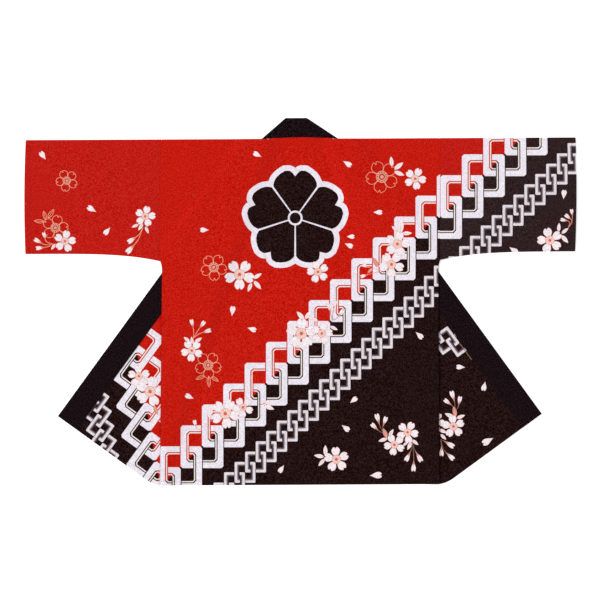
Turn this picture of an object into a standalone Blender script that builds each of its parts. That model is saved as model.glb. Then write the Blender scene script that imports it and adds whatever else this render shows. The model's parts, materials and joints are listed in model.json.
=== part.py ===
"""A happi coat laid flat on a surface with its back uppermost, as solid cloth.

The coat is cut as a back, two fronts, two sleeves and one long collar band. Each front runs down from
the shoulder under the back, is folded along a slanting line from the neck to the foot of the side seam,
and comes out past the side seam as a wing, with the collar along its free edge. The sleeves are
flattened tubes, folded along the top. Everything that touches the surface is flat there, and the layers
above rise over the ones below and settle again beside them.

Units are metres. +Z is up, +Y points to the neck and +X to the wearer's right sleeve. The origin is at
the middle of the coat's outline, on the surface that it lies on.
"""

import math

import bmesh
import bpy
import numpy as np

# Driving sizes of the garment. ARMPIT_CURVE says how suddenly the sleeve turns down into the armpit.
BODY_LENGTH = 0.800
BODY_HALF_WIDTH = 0.323
NECK_HALF_WIDTH = 0.077
COLLAR_STAND = 0.048
COLLAR_WIDTH = 0.055
FRONT_GAP_HALF = 0.062
SLEEVE_REACH = 0.638
CUFF_DEPTH = 0.2635
ARMHOLE_DEPTH = 0.282
ARMPIT_CURVE = 4
NECKLINE_RISE = 0.003
CUFF_BOW = 0.0025

# Cloth, collar and seams.
CLOTH = 0.0012
COLLAR_THICK = 0.0024
SEAM_GAP = 0.0003

# How the fronts are folded out.
FOLD_ANGLE = math.radians(18.0)
FOLD_TOP_Y = 0.236
FOLD_FOOT_Y = -0.360
HEM_CORNER_EASE = 0.014
SHOULDER_TURN = 0.008

# How far a layer takes to rise over what lies under it.
FRONT_CLEAR = 0.024
FRONT_RISE = 0.016
BACK_SETTLE = 0.036
NECK_RISE_HEIGHT = 0.0012
NECK_RISE_REACH = 0.030
ARMPIT_FADE = 0.070
SLEEVE_LOFT = 0.0022

# Places worked out from the sizes.
SHOULDER_Y = (BODY_LENGTH - COLLAR_STAND) / 2
HEM_Y = SHOULDER_Y - BODY_LENGTH
COLLAR_TOP_Y = SHOULDER_Y + COLLAR_STAND
FRONT_LIFT = COLLAR_THICK + SEAM_GAP
LAYER_STEP = CLOTH + SEAM_GAP
COLLAR_SEAM_HALF = FRONT_GAP_HALF + COLLAR_WIDTH
FOLD_HEM_X = NECK_HALF_WIDTH + BODY_LENGTH * math.tan(FOLD_ANGLE)
WING_ALONG = np.array([math.cos(2 * FOLD_ANGLE), math.sin(2 * FOLD_ANGLE)])
WING_UP = np.array([-math.sin(2 * FOLD_ANGLE), math.cos(2 * FOLD_ANGLE)])
WING_CORNER = np.array([FOLD_HEM_X, HEM_Y]) + (FOLD_HEM_X - FRONT_GAP_HALF) * WING_ALONG
SEAM_CORNER = np.array([FOLD_HEM_X, HEM_Y]) + (FOLD_HEM_X - COLLAR_SEAM_HALF) * WING_ALONG
FOLD_DRAW = (FRONT_LIFT + CLOTH) / 2 / math.cos(FOLD_ANGLE)

# How finely each piece is divided.
FOLD_STEPS = 6
FRONT_COLUMNS = 8
WING_COLUMNS = 9
SETTLE_OFFSETS = (0.0, 0.006, 0.014, 0.024, BACK_SETTLE)
MIDDLE_COLUMNS = 4
SLEEVE_STATIONS = 14
SLEEVE_COLUMNS = 12
BAND_STATIONS = 12
BAND_COLUMNS = 5
SHARP_ANGLE = math.radians(40)

# Finishes: base colour (linear), roughness.
FINISHES = {
    "printed_red": ((0.552, 0.014, 0.008), 0.85),
    "printed_black": ((0.020, 0.009, 0.009), 0.85),
    "collar_black": ((0.012, 0.007, 0.009), 0.88),
}

# Collar round the neck: share of the way round, how thick the folded band is there.
NECK_THICKNESS = (
    {"share": 0.00, "thick": COLLAR_THICK},
    {"share": 0.14, "thick": 0.0038},
    {"share": 0.30, "thick": 0.0042},
    {"share": 0.50, "thick": 0.0030},
    {"share": 0.70, "thick": 0.0042},
    {"share": 0.86, "thick": 0.0038},
    {"share": 1.00, "thick": COLLAR_THICK},
)
# Outer outline of the collar above the shoulders, left to right as seen from above.
NECK_OUTLINE = (
    {"x": -0.090, "y": SHOULDER_Y + SEAM_GAP},
    {"x": -0.035, "y": COLLAR_TOP_Y},
    {"x": 0.014, "y": COLLAR_TOP_Y},
    {"x": 0.086, "y": SHOULDER_Y + SEAM_GAP},
)
# Stations round the neck between one corner of the outline and the next.
NECK_STEPS = (4, 3, 5)
# Where the band's free edge starts to draw in under the shoulder.
BAND_DRAW_IN_Y = 0.350


def clear_scene():
    """Removes whatever the scene holds at the start."""
    for obj in list(bpy.data.objects):
        bpy.data.objects.remove(obj, do_unlink=True)


def smooth(share):
    """0 to 1 with level ends, for a share that may lie outside 0 to 1."""
    share = min(1.0, max(0.0, share))
    return share * share * (3 - 2 * share)


def spread(start, end, steps):
    """Evenly spaced values from start to end, both included."""
    return np.linspace(start, end, steps + 1)


def fold_x(y):
    """Distance of the front's fold line from the middle, straight up to the foot of the side seam."""
    return NECK_HALF_WIDTH + (SHOULDER_Y - max(y, FOLD_FOOT_Y)) * math.tan(FOLD_ANGLE)


def inside_free_edge(x, y):
    """How far a point lies inside the wing's free edge, negative outside it."""
    return -float((np.array([x, y]) - WING_CORNER) @ WING_ALONG)


def front_height(x, y):
    """Underside of a front's upper layer: on the surface, but lifted over the collar and wing."""
    return FRONT_LIFT * smooth((inside_free_edge(x, y) + FRONT_CLEAR + FRONT_RISE) / FRONT_RISE)


def neckline_y(x):
    """The back's neck edge, slightly raised in the middle."""
    return SHOULDER_Y + NECKLINE_RISE * (1 - (x / NECK_HALF_WIDTH) ** 2)


def back_height(x, y):
    """Underside of the back: over the fronts at the sides, on the surface in the middle."""
    over = 1 - smooth((fold_x(y) - x) / BACK_SETTLE)
    height = (front_height(max(x, fold_x(y)), y) + LAYER_STEP) * over
    neck = NECK_RISE_HEIGHT * smooth((y - SHOULDER_Y + NECK_RISE_REACH) / NECK_RISE_REACH)
    return max(height, neck)


def sleeve_depth(x):
    """How deep the sleeve is: level to the cuff, and drawn down into the armpit."""
    left = (SLEEVE_REACH - x) / (SLEEVE_REACH - BODY_HALF_WIDTH)
    return CUFF_DEPTH + (ARMHOLE_DEPTH - CUFF_DEPTH) * left**ARMPIT_CURVE


def row_heights():
    """Places down the body of the rows that the back and the fronts share."""
    start = SHOULDER_Y - LAYER_STEP / 2 - CLOTH / 2
    front_top = start - SHOULDER_TURN - SEAM_GAP
    above = spread(front_top, FOLD_TOP_Y, 5)
    beside = spread(FOLD_TOP_Y, FOLD_FOOT_Y, 22)[1:]
    below = spread(FOLD_FOOT_Y, HEM_Y, 3)[1:]
    return [start, *above, *beside, *below]


def over_columns(y):
    """Distances from the middle of the columns that the back and a front share, side seam to fold."""
    return list(spread(BODY_HALF_WIDTH, fold_x(y) + FOLD_DRAW, FRONT_COLUMNS))


def cloth_solid(name, outer, inner, present=None, ring=False, turn_from=None):
    """Makes one closed wall from two sheets of points.

    outer and inner hold a point for each row and column. present marks the cells that exist, and ring
    joins the last column to the first. From the column turn_from on, cells are split the other way.
    """
    rows, columns = outer.shape[:2]
    cells = columns if ring else columns - 1
    mesh = bmesh.new()
    made = {}

    def vertex(sheet, row, column):
        key = (sheet, row, column % columns)
        if key not in made:
            made[key] = mesh.verts.new((outer, inner)[sheet][row, column % columns])
        return made[key]

    rims = {}
    for row in range(rows - 1):
        for column in range(cells):
            if present is not None and not present[row, column]:
                continue
            corners = [(row, column), (row, column + 1), (row + 1, column + 1), (row + 1, column)]
            turned = turn_from is not None and column >= turn_from
            for a, b, c in ((0, 1, 3), (1, 2, 3)) if turned else ((0, 1, 2), (0, 2, 3)):
                mesh.faces.new([vertex(0, *corners[at]) for at in (a, b, c)])
                mesh.faces.new([vertex(1, *corners[at]) for at in (c, b, a)])
            for a, b in zip(corners, corners[1:] + corners[:1]):
                a, b = (a[0], a[1] % columns), (b[0], b[1] % columns)
                if (b, a) in rims:
                    del rims[b, a]
                else:
                    rims[a, b] = True
    for a, b in rims:
        mesh.faces.new([vertex(0, *b), vertex(0, *a), vertex(1, *a), vertex(1, *b)])
    bmesh.ops.recalc_face_normals(mesh, faces=mesh.faces)
    return add_object(name, mesh)


def add_object(name, mesh):
    """Adds a bmesh to the scene under a node's name, shaded smooth but for its sharp edges."""
    data = bpy.data.meshes.new(name)
    mesh.to_mesh(data)
    mesh.free()
    data.shade_smooth()
    data.set_sharp_from_angle(angle=SHARP_ANGLE)
    obj = bpy.data.objects.new(name, data)
    bpy.context.scene.collection.objects.link(obj)
    return obj


def finish(obj, slot):
    """Gives a piece a material of its own with one of the coat's finishes."""
    colour, roughness = FINISHES[slot]
    material = bpy.data.materials.new(f"{obj.name}_{slot}")
    material.use_nodes = True
    shader = material.node_tree.nodes["Principled BSDF"]
    shader.inputs["Base Color"].default_value = (*colour, 1.0)
    shader.inputs["Roughness"].default_value = roughness
    shader.inputs["Metallic"].default_value = 0.0
    obj.data.materials.append(material)


def sided(points, side):
    """The same points on the left (side -1) or the right (side 1)."""
    return points * np.array([side, 1, 1])


def make_back():
    """The back panel, with its shoulder edges turned over to the front of the fold."""
    rows = row_heights()
    middle = spread(0, 1, MIDDLE_COLUMNS)[1:]

    def half_columns(y):
        settle = [fold_x(y) - offset for offset in SETTLE_OFFSETS]
        level = [settle[-1] * (1 - share) for share in middle]
        return over_columns(y) + settle + level

    fold_radius = LAYER_STEP / 2
    angles = spread(math.pi / 2, -math.pi / 2, FOLD_STEPS)[1:]
    half = len(half_columns(0.0))
    columns = 2 * half - 1
    total = len(rows) + FOLD_STEPS + 1
    outer = np.zeros((total, columns, 3))
    inner = np.zeros((total, columns, 3))
    for index in range(half):
        over_front = index <= FRONT_COLUMNS + 1
        for down, y in enumerate(rows):
            x = half_columns(y)[index]
            if down == 0 and not over_front:
                y = neckline_y(x)
            low = back_height(x, y)
            place(outer, inner, total - len(rows) + down, index, (x, y, low + CLOTH), (x, y, low))
        x, y = half_columns(rows[0])[index], rows[0]
        centre = front_height(x, y) + LAYER_STEP / 2 + CLOTH / 2
        for step, angle in enumerate(angles):
            across, up = math.cos(angle), math.sin(angle)
            far, near = fold_radius + CLOTH / 2, fold_radius - CLOTH / 2
            place(
                outer,
                inner,
                FOLD_STEPS - step,
                index,
                (x, y + far * across, centre + far * up),
                (x, y + near * across, centre + near * up),
            )
        end = y - SHOULDER_TURN
        low = front_height(x, end)
        place(outer, inner, 0, index, (x, end, low), (x, end, low + CLOTH))
    present = np.ones((total - 1, columns - 1), bool)
    present[: FOLD_STEPS + 1, FRONT_COLUMNS + 1 : columns - 2 - FRONT_COLUMNS] = False
    return cloth_solid("back", outer, inner, present, turn_from=half - 1)


def place(outer, inner, row, index, out_point, in_point):
    """Writes a pair of points on the right and its mirror image on the left."""
    last = outer.shape[1] - 1
    for column, side in ((index, 1), (last - index, -1)):
        outer[row, column] = sided(np.array(out_point), side)
        inner[row, column] = sided(np.array(in_point), side)


def eased_to_hem(y):
    """A height on the wing, held at the hem, with a round corner where the two edges meet."""
    below = HEM_Y - y
    if below >= HEM_CORNER_EASE:
        return HEM_Y
    return y + max(0.0, below + HEM_CORNER_EASE) ** 2 / (4 * HEM_CORNER_EASE)


def wing_point(y, share):
    """A point of the wing's row that starts at height y on the fold: 0 at the fold, 1 at the collar."""
    seam = SEAM_CORNER + (y - HEM_Y) * WING_UP - SEAM_GAP * WING_ALONG
    start = np.array([fold_x(y) + FOLD_DRAW, y])
    if y < FOLD_FOOT_Y:
        start = seam - WING_ALONG * (seam[0] - fold_x(y)) / WING_ALONG[0]
    x, y = start + (seam - start) * share
    return x, eased_to_hem(y)


def make_front(side, name):
    """A front: under the back to the fold line, round the fold, and out as the wing."""
    heights = row_heights()[1:]
    fold_radius = FRONT_LIFT / 2
    fold_middle = fold_radius + CLOTH / 2
    across = np.array([-math.cos(FOLD_ANGLE), -math.sin(FOLD_ANGLE)])
    angles = spread(math.pi / 2, -math.pi / 2, FOLD_STEPS)
    wing_shares = spread(0, 1, WING_COLUMNS)
    columns = FRONT_COLUMNS + FOLD_STEPS + 1 + WING_COLUMNS
    face = np.zeros((len(heights), columns, 3))
    reverse = np.zeros((len(heights), columns, 3))
    present = np.zeros((len(heights) - 1, columns - 1), bool)
    for row, y in enumerate(heights):
        for column, x in enumerate(over_columns(y)[:-1]):
            low = front_height(x, y)
            face[row, column] = (x, y, low)
            reverse[row, column] = (x, y, low + CLOTH)
        start = np.array([fold_x(y) + FOLD_DRAW, y])
        for step, angle in enumerate(angles):
            out, up = math.cos(angle), math.sin(angle)
            for sheet, radius in ((face, fold_radius - CLOTH / 2), (reverse, fold_radius + CLOTH / 2)):
                plan = start + across * radius * out
                sheet[row, FRONT_COLUMNS + step] = (*plan, fold_middle + radius * up)
        for step, share in enumerate(wing_shares[1:]):
            plan = wing_point(y, share)
            column = FRONT_COLUMNS + FOLD_STEPS + 1 + step
            face[row, column] = (*plan, CLOTH)
            reverse[row, column] = (*plan, 0.0)
        if y < FOLD_FOOT_Y:
            plan = wing_point(y, 0.0)
            face[row, FRONT_COLUMNS + FOLD_STEPS] = (*plan, CLOTH)
            reverse[row, FRONT_COLUMNS + FOLD_STEPS] = (*plan, 0.0)
    for row, y in enumerate(heights[1:]):
        above = heights[row]
        if y > FOLD_FOOT_Y - SEAM_GAP:
            present[row, :FRONT_COLUMNS] = True
        if above < FOLD_TOP_Y + SEAM_GAP:
            present[row, FRONT_COLUMNS + FOLD_STEPS :] = True
            if y > FOLD_FOOT_Y - SEAM_GAP:
                present[row, FRONT_COLUMNS : FRONT_COLUMNS + FOLD_STEPS] = True
    return cloth_solid(name, sided(face, side), sided(reverse, side), present)


def sleeve_height(x, y):
    """Underside of the sleeve's lower layer: level with the front at the armhole, then on the surface."""
    fade = 1 - smooth((x - BODY_HALF_WIDTH) / ARMPIT_FADE)
    return front_height(BODY_HALF_WIDTH, y) * fade


def sleeve_ring(x):
    """Pairs of points round the flattened sleeve at a distance x from the middle: outside, inside."""
    out = (x - BODY_HALF_WIDTH) / (SLEEVE_REACH - BODY_HALF_WIDTH)
    radius = LAYER_STEP / 2
    high = SHOULDER_Y - radius - CLOTH / 2
    low = SHOULDER_Y - sleeve_depth(x) + radius + CLOTH / 2
    lift = LAYER_STEP / 2 + CLOTH / 2
    pairs = []

    def bowed(y):
        middle = (2 * y - high - low) / (high - low)
        return x + CUFF_BOW * out**3 * (1 - middle * middle)

    def fold(y, first, last):
        centre = sleeve_height(x, y) + lift
        for angle in spread(first, last, FOLD_STEPS):
            for_out, for_in = (
                (bowed(y), y + r * math.cos(angle), centre + r * math.sin(angle))
                for r in (radius + CLOTH / 2, radius - CLOTH / 2)
            )
            pairs.append((for_out, for_in))

    between = spread(low, high, SLEEVE_COLUMNS)[1:-1]
    for y in between:
        under = sleeve_height(x, y)
        pairs.append(((bowed(y), y, under), (bowed(y), y, under + CLOTH)))
    fold(high, -math.pi / 2, math.pi / 2)
    for y in between[::-1]:
        loft = SLEEVE_LOFT * out * math.sin(math.pi * (y - low) / (high - low))
        under = sleeve_height(x, y) + LAYER_STEP + loft
        pairs.append(((bowed(y), y, under + CLOTH), (bowed(y), y, under)))
    fold(low, math.pi / 2, 3 * math.pi / 2)
    return pairs


def make_sleeve(side, name):
    """A sleeve: one flattened tube, folded along the top and sewn along the bottom, open at both ends."""
    start = BODY_HALF_WIDTH + SEAM_GAP
    rings = [sleeve_ring(x) for x in spread(start, SLEEVE_REACH - CUFF_BOW, SLEEVE_STATIONS)]
    pairs = np.array(rings)
    return cloth_solid(name, sided(pairs[:, :, 0], side), sided(pairs[:, :, 1], side), ring=True)


def along(outline, share):
    """A point a share of the way along an outline whose stretches count alike, as NECK_STEPS says."""
    place_on = share * (len(outline) - 1)
    index = min(int(place_on), len(outline) - 2)
    part = place_on - index
    first, second = outline[index], outline[index + 1]
    return np.array([first[key] + (second[key] - first[key]) * part for key in ("x", "y")])


def neck_thickness(share):
    """The collar's thickness a share of the way round the neck."""
    shares = [row["share"] for row in NECK_THICKNESS]
    return float(np.interp(share, shares, [row["thick"] for row in NECK_THICKNESS]))


def band_stations(side):
    """Outer and inner edge points of the collar on one wing, from the hem to the shoulder."""
    turn = (COLLAR_SEAM_HALF - NECK_HALF_WIDTH) / math.tan(FOLD_ANGLE)
    run = BODY_LENGTH - turn
    stations = []
    for distance in spread(0, run, BAND_STATIONS):
        stations.append((WING_CORNER + distance * WING_UP, SEAM_CORNER + distance * WING_UP))
    draw_in = (BAND_DRAW_IN_Y - WING_CORNER[1]) / WING_UP[1]
    halfway_y = (SHOULDER_Y - turn + SHOULDER_Y) / 2
    stations.append((WING_CORNER + draw_in * WING_UP, np.array([fold_x(halfway_y), halfway_y])))
    return [(outer * (side, 1), inner * (side, 1), COLLAR_THICK) for outer, inner in stations]


def neck_stations():
    """Outer and inner edge points of the collar round the neck, left to right."""
    stations = []
    for stretch, steps in enumerate(NECK_STEPS):
        for step in range(steps if stretch < len(NECK_STEPS) - 1 else steps + 1):
            share = (stretch + step / steps) / len(NECK_STEPS)
            outer = along(NECK_OUTLINE, share)
            x = -NECK_HALF_WIDTH * math.cos(math.pi * share)
            inner = np.array([x, neckline_y(x) + SEAM_GAP])
            stations.append((outer, inner, neck_thickness(share)))
    return stations


def collar_ring(outer, inner, thick):
    """One section of the collar: flat below, rounded at the free edge and square at the seam."""
    across = outer - inner
    width = float(np.linalg.norm(across))
    across = across / width
    radius = thick / 2
    ring = []
    for distance in spread(0, width - radius, BAND_COLUMNS):
        ring.append((*(inner + across * distance), thick))
    for angle in spread(math.pi / 2, -math.pi / 2, FOLD_STEPS)[1:-1]:
        reach = width - radius + radius * math.cos(angle)
        ring.append((*(inner + across * reach), radius + radius * math.sin(angle)))
    for distance in spread(width - radius, 0, BAND_COLUMNS):
        ring.append((*(inner + across * distance), 0.0))
    return ring


def make_collar():
    """The collar: one folded band from the left wing's hem, round the neck, to the right wing's hem."""
    left, right = band_stations(-1), band_stations(1)
    stations = left + neck_stations() + right[::-1]
    mesh = bmesh.new()
    rings = [[mesh.verts.new(point) for point in collar_ring(*station)] for station in stations]
    for first, second in zip(rings, rings[1:]):
        for index in range(len(first)):
            after = (index + 1) % len(first)
            mesh.faces.new((first[index], first[after], second[after], second[index]))
    mesh.faces.new(rings[0])
    mesh.faces.new(rings[-1][::-1])
    bmesh.ops.recalc_face_normals(mesh, faces=mesh.faces)
    return add_object("collar", mesh)


def main():
    """Builds the coat, one object for each piece that a maker cuts."""
    clear_scene()
    finish(make_back(), "printed_red")
    finish(make_front(-1, "front_left"), "printed_black")
    finish(make_front(1, "front_right"), "printed_black")
    finish(make_sleeve(-1, "sleeve_left"), "printed_red")
    finish(make_sleeve(1, "sleeve_right"), "printed_red")
    finish(make_collar(), "collar_black")


main()
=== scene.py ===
"""The looks of a happi coat laid flat with its back uppermost.

Each panel is cut as a flat sheet along the edges of its print, so that every dyed shape has a crisp edge
of its own, and is then laid over the form that the frame carries: the back over the fronts, the fronts
folded out as wings, the sleeves as flattened tubes, and the collar band along the wings and round the
neck. Hems, seams and stitching are added, and then the floor, the lights and the camera.

Units are metres. +Z is up, +Y points to the neck and +X to the wearer's right sleeve. A page place is a
place seen from straight above. Tables of sizes and places are in millimetres, as their columns say.
"""

import json
import logging
import math
from collections.abc import Iterable, Sequence
from dataclasses import dataclass, field, replace
from enum import Enum
from typing import NamedTuple

import bmesh
import bpy
from mathutils import Matrix, Vector
from mathutils.geometry import delaunay_2d_cdt

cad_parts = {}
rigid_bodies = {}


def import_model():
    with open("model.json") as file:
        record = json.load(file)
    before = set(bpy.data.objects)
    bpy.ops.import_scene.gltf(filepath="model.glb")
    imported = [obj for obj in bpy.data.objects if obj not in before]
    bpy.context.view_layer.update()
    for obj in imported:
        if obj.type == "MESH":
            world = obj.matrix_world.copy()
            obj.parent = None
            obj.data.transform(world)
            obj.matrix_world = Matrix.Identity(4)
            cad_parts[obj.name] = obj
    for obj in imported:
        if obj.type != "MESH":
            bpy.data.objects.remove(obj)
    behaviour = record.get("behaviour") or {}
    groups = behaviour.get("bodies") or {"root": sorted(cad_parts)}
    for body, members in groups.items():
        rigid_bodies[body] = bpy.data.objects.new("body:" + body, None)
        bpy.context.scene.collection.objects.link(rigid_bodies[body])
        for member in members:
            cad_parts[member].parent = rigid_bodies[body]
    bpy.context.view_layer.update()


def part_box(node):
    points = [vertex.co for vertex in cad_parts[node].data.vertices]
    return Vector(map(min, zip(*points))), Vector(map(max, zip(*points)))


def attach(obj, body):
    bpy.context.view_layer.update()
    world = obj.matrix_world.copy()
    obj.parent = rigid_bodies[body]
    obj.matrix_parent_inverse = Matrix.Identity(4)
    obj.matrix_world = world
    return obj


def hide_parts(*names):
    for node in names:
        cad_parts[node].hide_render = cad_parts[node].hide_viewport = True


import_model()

log = logging.getLogger("happi_coat")

MM = 0.001
BODY = "root"

# Sizes of the coat. The outer ones are the frame's own.
BODY_HALF_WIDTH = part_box("back")[1].x
HEM_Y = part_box("back")[0].y
COLLAR_TOP_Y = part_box("collar")[1].y
SLEEVE_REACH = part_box("sleeve_right")[1].x
BODY_LENGTH = 0.800
NECK_HALF_WIDTH = 0.077
COLLAR_WIDTH = 0.055
FRONT_GAP_HALF = 0.062
CUFF_DEPTH = 0.2635
ARMHOLE_DEPTH = 0.282
ARMPIT_CURVE = 4
NECKLINE_RISE = 0.003
CUFF_BOW = 0.0025
CLOTH = 0.0012
COLLAR_THICK = 0.0024
SEAM_GAP = 0.0003

# How the fronts are folded out, and how far a layer takes to rise over what lies under it.
FOLD_ANGLE = math.radians(18.0)
FOLD_TOP_Y = 0.236
FOLD_FOOT_Y = -0.360
HEM_CORNER_EASE = 0.014
SHOULDER_TURN = 0.008
FRONT_CLEAR = 0.024
FRONT_RISE = 0.016
BACK_SETTLE = 0.036
NECK_RISE_HEIGHT = 0.0012
NECK_RISE_REACH = 0.030
ARMPIT_FADE = 0.070
SLEEVE_LOFT = 0.0022
BAND_DRAW_IN_Y = 0.350

# Places worked out from the sizes.
SHOULDER_Y = HEM_Y + BODY_LENGTH
FRONT_LIFT = COLLAR_THICK + SEAM_GAP
LAYER_STEP = CLOTH + SEAM_GAP
ROLL = (LAYER_STEP + CLOTH) / 2
TURN_Y = SHOULDER_Y - ROLL
ARMPIT_Y = SHOULDER_Y - ARMHOLE_DEPTH
COLLAR_SEAM_HALF = FRONT_GAP_HALF + COLLAR_WIDTH
FOLD_HEM_X = NECK_HALF_WIDTH + BODY_LENGTH * math.tan(FOLD_ANGLE)
WING_ALONG = Vector((math.cos(2 * FOLD_ANGLE), math.sin(2 * FOLD_ANGLE)))
WING_UP = Vector((-math.sin(2 * FOLD_ANGLE), math.cos(2 * FOLD_ANGLE)))
WING_CORNER = Vector((FOLD_HEM_X, HEM_Y)) + (FOLD_HEM_X - FRONT_GAP_HALF) * WING_ALONG
SEAM_CORNER = Vector((FOLD_HEM_X, HEM_Y)) + (FOLD_HEM_X - COLLAR_SEAM_HALF) * WING_ALONG
FOLD_DRAW = (FRONT_LIFT + CLOTH) / 2 / math.cos(FOLD_ANGLE)
FOLD_NORMAL = Vector((math.cos(FOLD_ANGLE), math.sin(FOLD_ANGLE)))
ROLL_START = BODY_HALF_WIDTH - ROLL
ROLLED_SIDE = ROLL_START + ROLL * math.pi / 2 - SEAM_GAP / 3
SLEEVE_FOLD = TURN_Y + ROLL * math.pi / 2
BACK_TOP = TURN_Y + ROLL * math.pi + SHOULDER_TURN
FRONT_TOP = TURN_Y - SHOULDER_TURN - SEAM_GAP

# Making of the cloth.
WALL = 0.0010
GRID = 0.008
STAGGER = 0.25
CUT_TOLERANCE = 1e-6
FOLD_TOLERANCE = 5e-6
ARC_STEPS = 6
ROLL_STEPS = 4
NECK_COLUMNS = 18
HEM_COLUMNS = 30
SLEEVE_COLUMNS = 40
HEM_DEPTH = 0.013
HEM_LIFT = 0.0004
HEM_EASE = 0.003
HEM_LINES = (HEM_DEPTH, HEM_DEPTH - HEM_EASE / 2, HEM_DEPTH - HEM_EASE)
SEAM_DIP = 0.0005
SLEEVE_DIP = 0.0006
SEAM_EASE = 0.0022
SEWN_IN = 0.0006
SIDE_DRAW = 0.0036
SIDE_DRAW_REACH = 0.070
SIDE_DRAW_EASE = 0.014
# Painted shade along the back's rolled side edges: the share of the dye's brightness kept there.
ROLLED_EDGE_PAINTED_SHADE = 0.55
RISE_FADE = 4 * GRID
STITCH_INSET = 2 * MM
BACK_STITCH_INSET = 3 * MM
COLLAR_STITCH_INSET = 2.5 * MM
FRONT_STITCH_RUN = BODY_LENGTH / 5
SHARP_ANGLE = math.radians(40)

# How the outline of a shape is moved outwards: the turn that gets one step of a round corner, in
# radians, and the shortest mitre.
ROUND_STEP = 0.5
SHORTEST_MITRE = 0.55

# Past this power a soft ridge has faded out.
RISE_END = 9

# The weave: yarns along each axis, and how far the yarns stand up.
THREADS_PER_METRE = 1700.0
THREAD_RELIEF = 0.0002

# The colour that a faded dye is washed towards.
FADED = (0.62, 0.55, 0.52, 1.0)

# How bright the lights make a plain white cloth, and the linear light that its sheen adds to any dye.
LIGHT = 1.06
SHEEN = 0.003

# The cloth has settled a little askew: its shoulders climb to the right and its hem slips to the left.
SLANT = 0.0049
LEAN = 0.0030
SETTLE = Matrix(((1, LEAN, 0, 0), (SLANT, 1, 0, 0), (0, 0, 1, 0), (0, 0, 0, 1)))
UNSETTLE = Matrix(((1, LEAN), (SLANT, 1))).inverted()

# Middle of the picture on the coat, and the same point on the page that the motif tables use.
VIEW_CENTRE = Vector((-0.3, 3.2)) * MM
PAGE_CENTRE = Vector((-0.9, 4.4)) * MM

# How far the second ground passes the centre line of the big chain, and how far it runs on, in mm.
GROUND_LAP = 0.85
GROUND_REACH = 1400.0
WING_GROUND_REACH = 900.0

# Widths of the print's fine lines and rims.
BLOOM_RIM = 0.7 * MM
PETAL_RIM = 0.4 * MM
RIM = 0.5 * MM
RING_LINE = 1.1 * MM
OUTLINE = 1.0 * MM
LEAF_LINE = 1.1 * MM
TWIG_LINE = 1.8 * MM

# The middle of a blossom dyed solid, as shares of its radius.
RING = 0.37
STAMEN_ROOT = 0.12
STAMEN_END = 0.27
ANTHER_AT = 0.28
ANTHER = 0.032
HEART = 0.12

# The middle of a blossom drawn in line: the ring of dots, as shares of the radius.
DOTS_AT = 0.285
DOT = 0.035

PETALS = 5
STAMENS = 10
DOTS = 12


class Dye(Enum):
    """Colours of the print, as they look in plain daylight (sRGB, 0 to 255)."""

    RED = (198, 30, 18)
    SLEEVE_RED = (193, 32, 24)
    BLACK = (37, 21, 21)
    COLLAR = (29, 18, 22)
    SLEEVE_BLACK = (49, 35, 36)
    WHITE = (238, 231, 241)
    SNOW = (244, 235, 240)
    SMOKE = (228, 219, 227)
    CREAM = (241, 228, 222)
    LINE = (248, 176, 146)
    TWIG = (142, 110, 92)
    SALMON = (222, 140, 122)
    BLUSH = (228, 168, 158)
    PALE = (242, 212, 206)
    POLLEN = (240, 194, 162)
    TAN = (236, 164, 144)
    DEEP = (182, 56, 44)
    HEART = (220, 100, 78)
    ASH_PALE = (150, 138, 142)
    ASH = (106, 93, 97)
    ASH_DARK = (68, 53, 55)

    def linear(self) -> tuple[float, float, float, float]:
        """The dye's own linear colour, with full alpha."""
        shares = (part / 255 for part in self.value)
        plain = (s / 12.92 if s <= 0.04045 else ((s + 0.055) / 1.055) ** 2.4 for s in shares)
        red, green, blue = (max(0.0, part - SHEEN) / LIGHT for part in plain)
        return (red, green, blue, 1.0)


def smooth(share: float) -> float:
    """0 to 1 with level ends, for a share that may lie outside 0 to 1."""
    share = min(1.0, max(0.0, share))
    return share * share * (3 - 2 * share)


def spread(start: float, end: float, steps: int) -> list[float]:
    """Evenly spaced values from start to end, both included."""
    return [start + (end - start) * step / steps for step in range(steps + 1)]


def fold_x(y: float) -> float:
    """Distance of a front's fold line from the middle, straight up to the foot of the side seam."""
    return NECK_HALF_WIDTH + (SHOULDER_Y - max(y, FOLD_FOOT_Y)) * math.tan(FOLD_ANGLE)


def front_height(x: float, y: float) -> float:
    """Underside of a front's upper layer: on the floor, but lifted over the collar and the wing."""
    inside = (WING_CORNER.x - x) * WING_ALONG.x + (WING_CORNER.y - y) * WING_ALONG.y
    return FRONT_LIFT * smooth((inside + FRONT_CLEAR + FRONT_RISE) / FRONT_RISE)


def neckline_y(x: float) -> float:
    """The back's neck edge, slightly raised in the middle."""
    return SHOULDER_Y + NECKLINE_RISE * (1 - (x / NECK_HALF_WIDTH) ** 2)


def back_height(x: float, y: float) -> float:
    """Underside of the back: over the fronts at the sides, on the floor in the middle.

    Args:
        x: distance from the middle.
        y: height on the page.

    Returns:
        The height above the floor.
    """
    over = 1 - smooth((fold_x(y) - x) / BACK_SETTLE)
    height = (front_height(max(x, fold_x(y)), y) + LAYER_STEP) * over
    neck = NECK_RISE_HEIGHT * smooth((y - SHOULDER_Y + NECK_RISE_REACH) / NECK_RISE_REACH)
    return max(height, neck)


def sleeve_depth(x: float) -> float:
    """How deep the sleeve is: level to the cuff, and drawn down into the armpit."""
    left = (SLEEVE_REACH - x) / (SLEEVE_REACH - BODY_HALF_WIDTH)
    return CUFF_DEPTH + (ARMHOLE_DEPTH - CUFF_DEPTH) * left**ARMPIT_CURVE


def sleeve_low(x: float) -> float:
    """Height on the page of the line where a sleeve's upper layer starts to roll into the bottom seam."""
    return SHOULDER_Y - sleeve_depth(x) + ROLL


def sleeve_height(x: float, y: float) -> float:
    """Underside of the sleeve: level with the front at the armhole, then on the floor."""
    return front_height(BODY_HALF_WIDTH, y) * (1 - smooth((x - BODY_HALF_WIDTH) / ARMPIT_FADE))


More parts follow.
